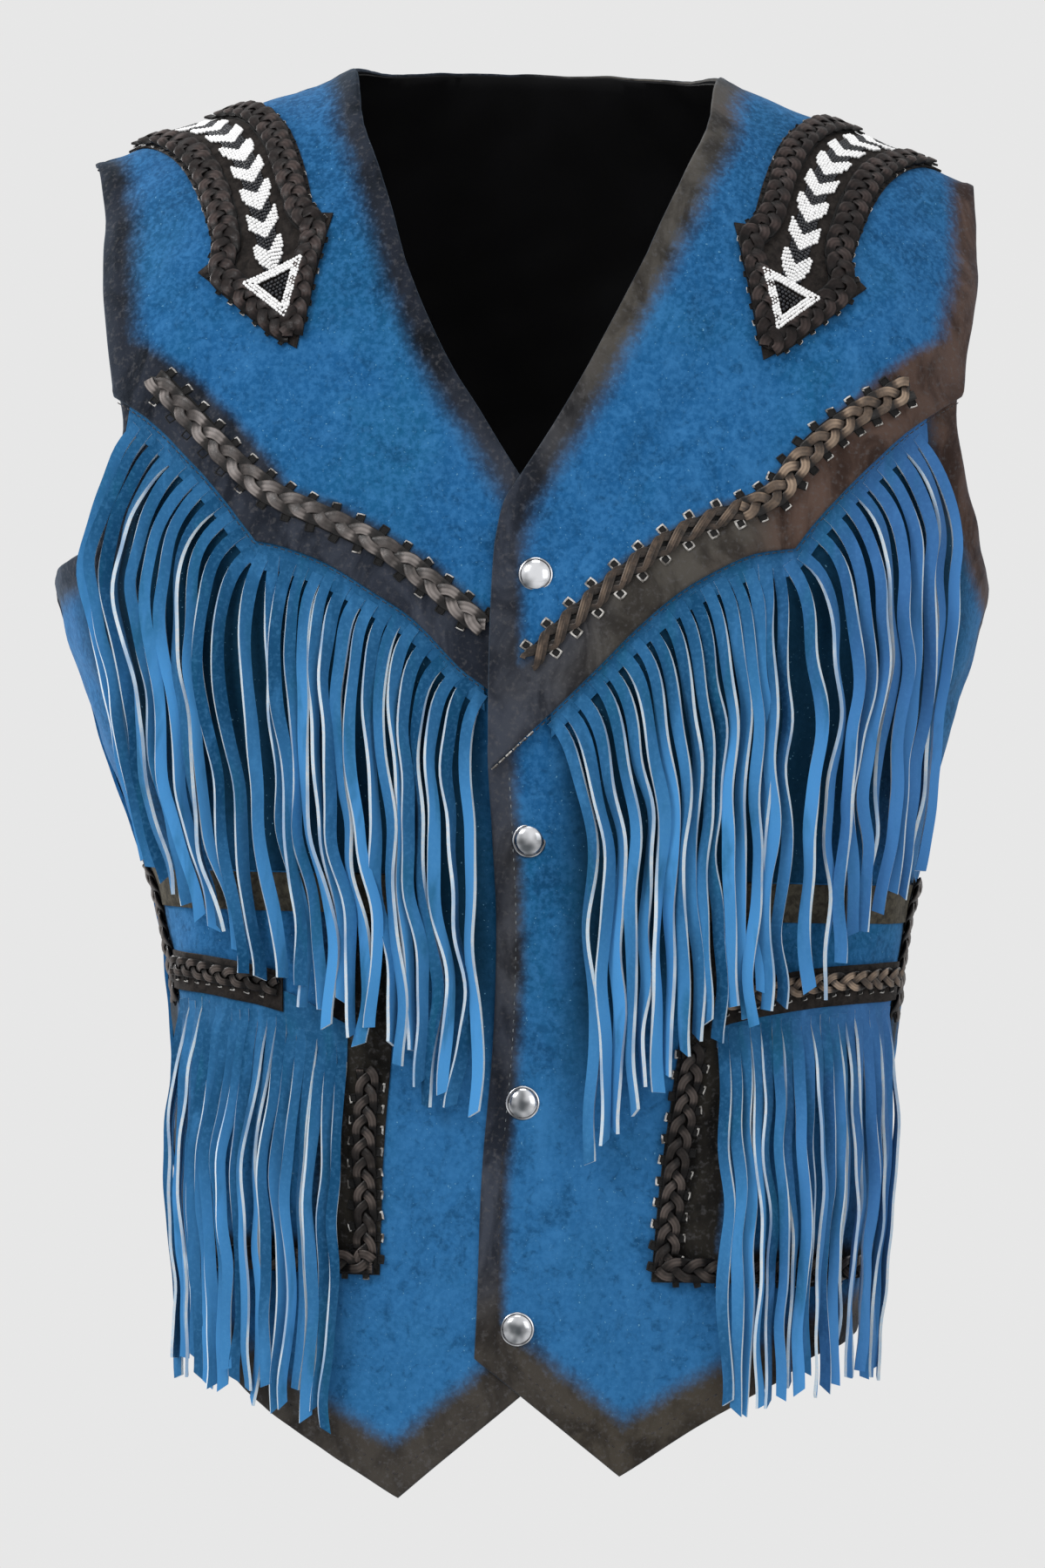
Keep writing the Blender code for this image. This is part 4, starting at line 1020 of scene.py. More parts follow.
def front_piece(side):
    name = SIDE_NAMES[side]
    lap = [(a, u + SEAM_ALLOWANCE) for a, u in yoke_edge(side)]
    arm = [p for p in front_armhole(side) if p[1] < lap[0][1] - 0.003]
    foot = hem(side)
    ring = list(reversed(lap)) + arm + list(reversed(foot))
    centre = [lap[-1], foot[0]]
    seam = [(arm[-1][0], -0.43), foot[-1]]
    dyed = [(centre, *PLACKET_DYE), (foot, *HEM_DYE), (arm, *ARMHOLE_DYE), (seam, *SIDE_DYE)]
    cut = Cut(ring, finished=[centre, foot, arm], dyed=dyed, shade=under_fringe(side))
    piece = cloth_piece(f"lower_front_{name}", cut, lower_lift(side), WALL)
    return finish_piece(piece, "suede", f"front_{name}"), cut


def yoke_piece(side):
    name = SIDE_NAMES[side]
    edge = yoke_edge(side)
    neck = neckline(side)
    shoulder = [shoulder_place(side * x) for x in np.linspace(NECK_POINT, SHOULDER_TIP, 8)]
    arm = [p for p in front_armhole(side) if p[1] > edge[0][1] + 0.003]
    ring = edge + list(reversed(neck))[:-1] + shoulder + arm[1:]
    v_neck = [p for p in neck if p[1] > -0.212] + [neck[-1]]
    centre = [neck[-1], (neck[-1][0], edge[-1][1])]
    dyed = [(v_neck, *NECK_DYE), (arm + edge[:1], *ARMHOLE_DYE), (edge, *YOKE_DYE), (centre, *PLACKET_DYE)]
    cut = Cut(ring, finished=[neck + centre[1:], arm, edge], dyed=dyed)
    piece = cloth_piece(f"upper_front_{name}", cut, yoke_lift(side), WALL)
    return finish_piece(piece, "suede", f"yoke_{name}"), cut


def back_ring(inset=0.0):
    margin = GAP / 2 + inset / 2
    left, right = back_armhole(1, margin), back_armhole(-1, margin)
    low = SIDE_HEM + inset
    hem_line = [(SIDE_SEAM + margin, low), (FAR_SIDE_SEAM - margin, low)]
    xs = np.linspace(SHOULDER_TIP, NECK_POINT, 8)
    left_shoulder = [shoulder_place(x, behind=True) for x in xs]
    right_shoulder = [shoulder_place(-x, behind=True) for x in reversed(xs)]
    if inset:
        left_shoulder = [(a, u - inset) for a, u in left_shoulder]
        right_shoulder = [(a, u - inset) for a, u in right_shoulder]
    left[0], right[0] = left_shoulder[0], right_shoulder[-1]
    neck = curved([left_shoulder[-1]] + on_back(BACK_NECK) + [right_shoulder[0]], 4)
    ring = hem_line + list(reversed(right)) + list(reversed(right_shoulder))[1:-1]
    ring += list(reversed(neck)) + list(reversed(left_shoulder))[1:-1] + left
    return ring, {"hem": hem_line, "left": left, "right": right, "neck": neck}


def back_piece():
    ring, lines = back_ring()
    dyes = {"hem": HEM_DYE, "left": ARMHOLE_DYE, "right": ARMHOLE_DYE, "neck": NECK_DYE}
    cut = Cut(ring, finished=list(lines.values()), dyed=[(lines[key], *dye) for key, dye in dyes.items()])
    piece = finish_piece(cloth_piece("back_panel", cut, flush, WALL, BACK_GRID), "suede", "back")
    declare(piece, cut)
    under = raised(flush, -LINING_THICKNESS - LINING_AIR)
    laid_piece("back_lining_satin", "back_lining", "lining", Cut(back_ring(LINING_INSET)[0]), under,
               LINING_THICKNESS, [LINING, LINING], BACK_GRID)


# Fringe

STRAND_STEP = 0.0040
# A strand starts this far inside its backing, and turns down over this run.
STRAND_ROOT = 0.004
BEND_RUN = 0.016
# How far out it comes to hang, over what run, and how much further at its end.
HANG = 0.0088
HANG_RUN = 0.028
HANG_MORE = 0.0022
# Side waves: least and most share of the wave's size, its length, and how much the length varies.
WAVES = [(0.5, 1.1, 0.150, 0.15), (0.3, 0.75, 0.078, 0.15), (0.05, 0.30, 0.043, 0.10)]
# Middle and spread of the strands' tones, and the backing's low tone, which is painted shade under the edge
# that the fringe hangs from.
STRAND_TONES = (0.58, 0.30)
BACKING_TONE = 0.12


def waves(rng, count, size, neighbour):
    """Side waves of each strand, as (height, length, phase), near those of its neighbours."""
    rows = []
    drift = rng.uniform(0, 6.28, 3)
    for _ in range(count):
        drift = drift + rng.normal(0, neighbour, 3)
        rows.append([(size * rng.uniform(low, high), long * rng.uniform(1 - vary, 1 + vary), phase)
                     for (low, high, long, vary), phase in zip(WAVES, drift)])
    return rows


def strand(batch, start, slope, length, width, lift, wave, depth, twist, tone, shape, rng):
    """One cut strand: it leaves the backing square to its edge, turns down, and twists as it hangs.

    twist is (turn, swing, length, phase): the turn at once, and then a swing to and fro."""
    turned, swing, long_twist, phase = twist
    rings = max(8, round(length / STRAND_STEP))
    s = np.linspace(-STRAND_ROOT, length, rings)
    fall = np.maximum(s, 0)
    tilt = math.atan(slope * shape["lean"])
    lean = tilt * np.exp(-fall / BEND_RUN)
    step = np.diff(s, prepend=s[0])
    across = start[0] + np.cumsum(np.sin(lean) * step) - STRAND_ROOT * math.sin(tilt)
    up = start[1] + STRAND_ROOT * math.cos(tilt) - np.cumsum(np.cos(lean) * step)
    free = ramp(fall, STRAND_ROOT, 0.060)
    aside = sum(high * np.sin(2 * math.pi * fall / long + begin) for high, long, begin in wave) * free
    hang = HANG * (1 - np.exp(-fall / HANG_RUN)) + HANG_MORE * fall / length
    path, normal = lay(across + aside, up, lift(across, up) + hang + depth * free)
    way = unit(np.gradient(path, axis=0))
    side = unit(np.cross(way, normal))
    out = np.cross(side, way)
    turn = turned * (1 - np.exp(-fall / BEND_RUN))
    turn += swing * np.sin(2 * math.pi * fall / long_twist + phase) * free
    cos, sin = np.cos(turn)[:, None], np.sin(turn)[:, None]
    side, out = side * cos + out * sin, out * cos - side * sin
    half = (width / 2) * (1 + 0.06 * np.sin(fall / 0.011 + phase))
    thick = FRINGE * shape["thick"] / 2
    corners = np.array([(-1, -1), (1, -1), (1, 1), (-1, 1)], float)
    profile = np.stack([half[:, None] * corners[:, 0], np.full((rings, 4), thick) * corners[:, 1]], -1)
    points, faces = swept(path, side, out, profile)
    points[-4:] += way[-1] * (corners[:, 0] * rng.uniform(-0.0022, 0.0022))[:, None]
    slots = [0, 1, 0, 1] * (rings - 1) + [1, 1]
    # Darker near the root as painted shade under the edge it hangs from, with a slow wave of tone down the
    # strand.
    value = tone * (0.25 + 0.75 * ramp(fall, 0.010, 0.095)) + 0.18 * np.sin(fall / 0.021 + phase) * free
    batch.add(points, faces, slots, tone=np.repeat(np.clip(value, 0, 1), 4))


def fringe_piece(name, node, ends, line, drop, count, length, width, lift, seed, shape):
    """A backing strip below a seam line and the strands cut in it."""
    rng = np.random.default_rng(seed)
    first, last = ends
    xs = np.linspace(*ends, count * 2)
    foot = [(float(a), float(line(a) - drop)) for a in xs]
    head = [(float(a), float(line(a) + SEAM_ALLOWANCE - GAP)) for a in reversed(xs)]
    places, triangles, rim_edges = triangulated(Cut(foot + head), CLOTH_GRID)
    total = len(places)
    faces = both_sides(triangles, total) + [(a, b, b + total, a + total) for a, b in rim_edges]
    batch = Batch("tone")
    points = [lay_on(places, lift, above)[0] for above in (0.0, FRINGE)]
    batch.add(np.concatenate(points), faces, 0, tone=BACKING_TONE)
    rows = waves(rng, count, shape["wave"], shape["neighbour"])
    middle = raised(lift, FRINGE / 2)
    for k in range(count):
        across = first + (k + 0.5) * (last - first) / count
        turn = shape["turn"] * rng.uniform(0.75, 1.15)
        if rng.random() < shape["flip"]:
            turn = -turn * 0.8
        twist = (turn, rng.uniform(0.15, 0.5), rng.uniform(0.10, 0.19), rng.uniform(0, 6.28))
        root = float(line(across) - drop + rng.uniform(0.0, 0.004))
        reach = length * rng.uniform(0.955, 1.035)
        tone = float(np.clip(rng.normal(*STRAND_TONES), 0.05, 1.0))
        strand(batch, (across, root), float(line.rise(across)), reach, width * rng.uniform(0.9, 1.08), middle,
               rows[k], (k % 2) * 0.0022 + rng.uniform(-0.0006, 0.0006), twist, tone, shape, rng)
    return finish_piece(batch.build(name, [STRAND_FACE, STRAND_CUT]), "suede", node)


def chest_fringe(side):
    name = SIDE_NAMES[side]
    outer = cloth_place(side * 0.1865, -0.17)[0]
    inner = cloth_place(-0.0175, -0.30)[0] if side < 0 else cloth_place(0.0135, -0.31)[0]
    shape = {"wave": 0.0022, "neighbour": 0.55, "flip": 0.22, "lean": 1.0, "thick": 1.35,
             "turn": -side * math.radians(48)}
    lift = raised(lower_lift(side), WALL + LAYER_AIR)
    return fringe_piece(f"chest_fringe_strands_{name}", f"chest_fringe_{name}", sorted((outer, inner)),
                        YOKE_HEIGHT[side], FRINGE_ROOT, CHEST_STRANDS, CHEST_STRAND_LENGTH,
                        CHEST_STRAND_WIDTH, lift, 20 + side, shape)


# Braids

# A lace's section: share of its width and of its thickness, and share of the crown's wear and painted
# highlight, so that its sides and foot get painted shade.
LACE_PROFILE = [
    (-0.50, 0.20, 0.05),
    (0.0, 0.0, 0.0),
    (0.50, 0.20, 0.05),
    (0.50, 0.72, 0.25),
    (0.41, 0.96, 1.0),
    (0.24, 0.99, 0.74),
    (0.02, 1.0, 1.0),
    (-0.16, 1.0, 0.70),
    (-0.41, 0.96, 0.85),
    (-0.50, 0.72, 0.2),
]


def lace_run(batch, places, lift, above, width, thick, wear, shrink):
    """One flat lace along cloth places."""
    path, normal = lay_on(places, lift, above)
    way = unit(np.gradient(path, axis=0))
    side = unit(np.cross(way, normal))
    rows = np.array(LACE_PROFILE)
    profile = np.repeat((rows[:, :2] * (width, thick))[None], len(path), axis=0)
    profile[..., 0] *= shrink[:, None]
    points, faces = swept(path, side, np.cross(side, way), profile)
    batch.add(points, faces, 0, wear=(wear[:, None] * rows[None, :, 2]).reshape(-1))


# Height of the painted shade strip under a braid.
GAP_SHADE_LIFT = 0.00025
HOLE_SIZE = 0.0034
HOLE_CORNERS = 16
# From the middle of a hole to the foot of its raw rim: share of the hole's size, and height.
HOLE_RINGS = [(0.0, 0.00025), (0.84, 0.00022), (0.90, 0.00060), (1.04, 0.00075), (1.20, 0.00045), (1.28, 0.0)]


def holes_beside(batch, spots, turns, lift, size, outward=None, rim=1.0, bare=None):
    """Punched square holes beside a braid: hollows filled with painted shade, and a thin raw rim where they
    face outward.

    bare marks the holes whose rim is dyed and so doesn't show."""
    if not len(spots):
        return
    angles = np.linspace(0, 2 * math.pi, HOLE_CORNERS, endpoint=False)
    square = 1 / np.maximum(np.abs(np.cos(angles)), np.abs(np.sin(angles))) ** 0.8
    share = np.array([1 + (row[0] - 1) * rim if row[0] > 1 else row[0] for row in HOLE_RINGS])
    reach = share[None, :, None] * square[None, None, :] * size / 2
    high = np.array([row[1] for row in HOLE_RINGS])[None, :, None]
    turned = angles[None, None, :] + np.asarray(turns)[:, None, None]
    a = spots[:, 0, None, None] + reach * np.cos(turned)
    u = spots[:, 1, None, None] + reach * np.sin(turned)
    points, _ = lay(a, u, lift(a, u) + high)
    faces, facing = [], []
    for k in range(HOLE_CORNERS):
        other = (k + 1) % HOLE_CORNERS
        shows = outward is None or math.cos(angles[k] - outward) > 0.45
        faces.append((0, HOLE_CORNERS + k, HOLE_CORNERS + other))
        facing.append(False)
        for ring in range(1, len(HOLE_RINGS) - 1):
            near, far = ring * HOLE_CORNERS, (ring + 1) * HOLE_CORNERS
            faces.append((near + k, far + k, far + other, near + other))
            facing.append(shows and ring > 1)
    for index, one in enumerate(points):
        hidden = bare is not None and bare[index]
        batch.add(one.reshape(-1, 3), faces, [2 if f and not hidden else 1 for f in facing], wear=0.6)


def hole_spots(line, ats, aside):
    """Places of holes at lengths along a line, and the way the line runs there."""
    ahead = line(ats + 0.002) - line(ats - 0.002)
    return line(ats, aside), np.arctan2(ahead[:, 1], ahead[:, 0])


def gap_shade(batch, line, lift, width, start, end):
    """A near-black strip under a braid, painted shade that shows in its gaps."""
    s = np.linspace(start, end, max(6, round((end - start) / 0.004)))
    rows = [lay_on(line(s, aside * width), lift, GAP_SHADE_LIFT)[0] for aside in (-0.5, 0.5)]
    count = len(s)
    faces = [(k, k + 1, count + k + 1, count + k) for k in range(count - 1)]
    batch.add(np.concatenate(rows), faces, 1, wear=0.0)


def plait(batch, line, lift, width, period, thick=0.0014, start=0.0, end=None, holes=(), hole_size=HOLE_SIZE,
          share=0.43, rim=1.0, bare_rims=(0.2, 0.2), tuck=0.10, rng=None):
    """A three-strand plait along a line, with holes along the named sides."""
    end = line.length if end is None else end
    lace = width * share
    swing = (width - lace) / 2
    heave = thick * 0.75
    count = max(12, round((end - start) / 0.0014))
    s = np.linspace(start, end, count)
    gap_shade(batch, line, lift, width * 0.86, start, end)
    for k in range(3):
        loose = rng.uniform(0, 6, 2)
        theta = 2 * math.pi * (s / period + k / 3) + 0.16 * np.sin(s / 0.013 + loose[0])
        drift = 0.0004 * np.sin(s / 0.009 + loose[1])
        swung = np.sin(theta) + 0.12 * np.sin(3 * theta)
        above = heave * (1 + np.sin(2 * theta)) + 0.0002
        # Wear and painted highlight where a lace rides over, and painted shade where it dips under.
        wear = np.clip(0.42 + 1.0 * np.sin(2 * theta), 0, 1)
        lace_run(batch, line(s, swing * swung + drift), lift, above, lace, thick, wear,
                 1 - 0.10 * np.abs(np.sin(theta)) ** 4)
    third = period / 3
    for side in holes:
        phase = 0.0 if side > 0 else 0.5
        ats = (np.arange(math.ceil(start / third), math.floor(end / third) + 1) + phase) * third
        ats = ats[(ats >= start + 0.001) & (ats <= end - 0.001)]
        spots, turns = hole_spots(line, ats, side * (width / 2 + hole_size * tuck))
        turns = turns + rng.uniform(-0.25, 0.25, len(turns))
        bare = rng.random(len(turns)) < bare_rims[0 if side < 0 else 1]
        holes_beside(batch, spots, turns, raised(lift, 0.0003), hole_size, side * math.pi / 2, rim, bare)


def open_lacing(batch, line, lift, width, pitch, start, end):
    """Spaced cross lacing between two rows of holes: flat laces that pass over and under each other."""
    count = max(12, round((end - start) / 0.0012))
    s = np.linspace(start, end, count)
    lace = width * 0.33
    swing = (width - lace * 0.9) / 2
    gap_shade(batch, line, lift, width * 0.62, start + 0.004, end - 0.004)
    for k in range(2):
        for strand_of in (-1, 1):
            theta = math.pi * s / pitch + math.pi * k
            saw = (2 / math.pi) * np.arcsin(np.clip(np.sin(theta) * 0.985, -1, 1))
            above = 0.0009 + 0.0008 * np.cos(theta) + 0.0002 * strand_of
            # Wear and painted highlight on the raised laces, and painted shade in the dips and on the under
            # strand.
            wear = 0.15 + 0.75 * np.clip(0.5 + 0.5 * np.cos(theta), 0, 1) * (0.75 + 0.25 * strand_of)
            lace_run(batch, line(s + strand_of * lace * 0.42, swing * saw), lift, above, lace * 0.80, 0.0009,
                     wear * 0.8, 1 - 0.30 * np.abs(saw) ** 6)
    for side in (-1, 1):
        ats = np.arange(start + (0.5 if side > 0 else 1.0) * pitch, end, pitch)
        spots, turns = hole_spots(line, ats, side * width / 2)
        holes_beside(batch, spots, turns + math.radians(8), raised(lift, 0.0004), HOLE_SIZE, rim=1.3)


def braid_piece(name, node, lace, batch):
    finish_piece(batch.build(name, [lace, HOLE_SHADE, RIM]), "lace", node)


def yoke_braid(side):
    name = SIDE_NAMES[side]
    line = Line(on_front(curved(YOKE_BRAID[side], 4)))
    lift = raised(yoke_lift(side), WALL)
    batch = Batch("wear")
    rng = np.random.default_rng(5 + side)
    if side < 0:
        plait(batch, line, lift, 0.0120, 0.0366, start=-0.003, end=line.length + 0.003, holes=(-1, 1),
              hole_size=0.0036, share=0.46, rim=0.8, bare_rims=(0.65, 0.15), rng=rng)
    else:
        middle = line.length * 0.47
        plait(batch, line, lift, 0.0125, 0.0315, start=-0.003, end=middle, holes=(-1, 1), share=0.38, rng=rng)
        open_lacing(batch, line, lift, 0.0118, 0.0135, middle - 0.004, line.length + 0.006)
    braid_piece(f"yoke_plait_{name}", f"yoke_braid_{name}", LACE_DARK if side < 0 else LACE_TAN, batch)


# Arrows

def arrow_place(side):
    """A function from (distance from the tip, aside) on an arrow to its cloth place, and its length."""
    tip = np.array(cloth_place(side * ARROW_TIP[0], ARROW_TIP[1]))
    tail = np.array(shoulder_place(side * ARROW_TAIL))
    way = (tail - tip) / np.linalg.norm(tail - tip)
    aside = np.array([way[1], -way[0]]) * side
    return (lambda along, off: tuple(tip + way * along + aside * off)), float(np.linalg.norm(tail - tip))


def tail_reach(place, length, aside):
    """How far from the tip a line along the arrow meets the shoulder seam."""
    reach = length
    for _ in range(6):
        across, up = place(reach, aside)
        seam = ridge(form(across, up)[0]) - ROLL_DROP + ROLL_RUN - ARROW_STOP
        reach += (seam - up) * 0.9
    return float(reach)


BEAD_PROFILE = [(-0.5, 0.42), (-0.30, 0.95), (0.0, 1.06), (0.30, 0.95), (0.5, 0.42)]
BEAD_SIDES = 7


def string_beads(batch, rows, lift):
    """Small rounded beads on their sides, from rows of (across, up, turn, long, wide, slot, high)."""
    across, up, turn, long, wide, slot, high = (np.array(values, float) for values in zip(*rows))
    centre, normal = lay(across, up, lift(across, up) + high)
    ahead, _ = lay(across + 0.0005 * np.cos(turn), up + 0.0005 * np.sin(turn), lift(across, up) + high)
    way = unit(ahead - centre)
    aside = unit(np.cross(normal, way))
    out = np.cross(way, aside)
    centre = centre + out * (wide * 0.42)[:, None]
    angles = np.linspace(0, 2 * math.pi, BEAD_SIDES, endpoint=False)
    along = np.array([row[0] for row in BEAD_PROFILE])[None, :, None, None]
    share = np.array([row[1] for row in BEAD_PROFILE])[None, :, None, None]
    ring = aside[:, None, None] * np.cos(angles)[None, None, :, None]
    ring = ring + out[:, None, None] * np.sin(angles)[None, None, :, None]
    points = centre[:, None, None] + way[:, None, None] * along * long[:, None, None, None]
    points = points + ring * share * wide[:, None, None, None] / 2
    faces = closed_faces(len(BEAD_PROFILE), BEAD_SIDES)
    for one, material in zip(points, slot):
        batch.add(one.reshape(-1, 3), faces, int(material))


# Beadwork of an arrow: chevrons down the shaft, and the triangle near the tip.
CHEVRON_PITCH = 0.0162
CHEVRON_WHITE = 0.56
CHEVRON_HALF = 0.0072
CHEVRON_SLANT = 1.30
BEAD_LONG = 0.0017
BEAD_WIDE = 0.0017
HEAD_TIP = 0.0155
HEAD_BASE = 0.0370
HEAD_HALF = 0.0132
HEAD_LIFT = 0.0022


def beadwork(side, place, tail, lift):
    """White chevrons down the shaft, each set between dark rows, and a white triangle at the head."""
    origin = np.array(place(0.0, 0.0))
    along_way = np.array(place(0.01, 0.0)) - origin
    off_way = np.array(place(0.0, 0.01)) - origin

    def angle_of(along, off):
        step = along_way * along + off_way * off
        return math.atan2(step[1], step[0])

    rng = np.random.default_rng(40 + side)
    rows = []

    def put(along, off, turn, slot, high=0.0):
        jitter = rng.normal(0, 0.00007, 2)
        spot = place(along + jitter[0], off + jitter[1])
        size = rng.uniform(0.93, 1.03)
        rows.append((*spot, turn, BEAD_LONG * size, BEAD_WIDE * size, slot, high))

    spacing = BEAD_LONG * 0.62
    for row in range(int((tail - HEAD_BASE) / BEAD_WIDE) + 6):
        height = HEAD_BASE + 0.0020 + (row - 2) * BEAD_WIDE
        turn = ((height - HEAD_BASE) / CHEVRON_PITCH) % 1.0
        white = turn < CHEVRON_WHITE
        narrowing = 0.22 * abs(turn / CHEVRON_WHITE * 2 - 1) ** 3 if white else 0.28
        reach = CHEVRON_HALF * (1 - narrowing)
        for arm in (-1, 1):
            for k in range(int(reach / spacing)):
                off = arm * (k + 0.5) * spacing
                along = height + abs(off) * CHEVRON_SLANT
                if HEAD_BASE + 0.0008 < along < tail - 0.0015:
                    put(along, off, angle_of(CHEVRON_SLANT * arm, 1.0), 0 if white else 1)
    corners = [(HEAD_TIP, 0.0), (HEAD_BASE, HEAD_HALF), (HEAD_BASE, -HEAD_HALF)]
    centre = np.mean(corners, axis=0)
    for inset in (0.0, 0.16, 0.32):
        ring = [np.array(c) + (centre - np.array(c)) * inset for c in corners]
        for start, end in zip(ring, ring[1:] + ring[:1]):
            count = max(2, round(math.dist(start, end) / (BEAD_LONG * 0.80)))
            for k in range(count):
                along, off = start + (end - start) * (k + 0.5) / count
                put(along, off, angle_of(*(end - start)), 0, HEAD_LIFT)
    inner = [np.array(c) + (centre - np.array(c)) * 0.42 for c in corners]
    depth = inner[1][0] - inner[0][0]
    for row in range(int(depth / (BEAD_WIDE * 0.95))):
        along = inner[0][0] + BEAD_WIDE * (0.5 + 0.95 * row)
        half = (along - inner[0][0]) / depth * inner[1][1]
        count = int(2 * half / BEAD_LONG)
        for k in range(count):
            put(along, (k - (count - 1) / 2) * BEAD_LONG, angle_of(0.0, 1.0), 1, HEAD_LIFT)
    batch = Batch()
    string_beads(batch, rows, lift)
    return batch


def arrow(side):
    name = SIDE_NAMES[side]
    place, length = arrow_place(side)
    on_yoke = raised(yoke_lift(side), WALL + LAYER_AIR / 2)
    on_patch = raised(on_yoke, TRIM)
    half = ARROW_NOTCH[1]
    tail_left, tail_right = tail_reach(place, length, half), tail_reach(place, length, -half)
    outline = [(0.0, 0.0), ARROW_BARB, ARROW_NOTCH]
    ring = [place(*p) for p in outline] + [place(tail_left, half), place(tail_right, -half)]
    ring += [place(a, -b) for a, b in reversed(outline[1:])]
    cut = Cut(ring)
    laid_piece(f"arrow_leather_{name}", f"arrow_patch_{name}", "trim_leather", cut, on_yoke, TRIM,
               [LEATHER_BROWN, LEATHER_BROWN], ARROW_GRID)
    inset = ARROW_BRAID / 2 - 0.0002
    shaft = half - inset
    point_reach = inset * math.hypot(*ARROW_BARB) / ARROW_BARB[1]
    runs = []
    for sign, tail in ((1, tail_left), (-1, tail_right)):
        runs.append([(tail - 0.001, sign * shaft), (ARROW_NOTCH[0] + 0.004, sign * shaft),
                     (ARROW_BARB[0] - 0.0045, sign * (ARROW_BARB[1] - 0.0078)), (point_reach * 0.62, 0.0)])
    batch = Batch("wear")
    rng = np.random.default_rng(60 + side)
    for index, run in enumerate(runs):
        smooth = np.array(stepped([place(*p) for p in run], 0.004))
        for _ in range(2):
            smooth[1:-1] = (smooth[:-2] + 2 * smooth[1:-1] + smooth[2:]) / 4
        line = Line([tuple(p) for p in smooth])
        outer = (1 if index == 0 else -1) * side
        lift = raised(on_patch, 0.0002 * index)
        plait(batch, line, lift, ARROW_BRAID, 0.0240, thick=0.0013, end=line.length + 0.001, holes=(outer,),
              hole_size=0.0022, rim=0.6, bare_rims=(0.45, 0.45), share=0.40, tuck=-0.45, rng=rng)
    braid_piece(f"arrow_plait_{name}", f"arrow_braid_{name}", LACE_ARROW, batch)
    beads = beadwork(side, place, min(tail_left, tail_right), on_patch)
    obj = beads.build(f"arrow_beads_{name}", [BEAD_WHITE, BEAD_DARK], sharp=0)
    finish_piece(obj, "beads", f"arrow_beadwork_{name}")


# Pockets

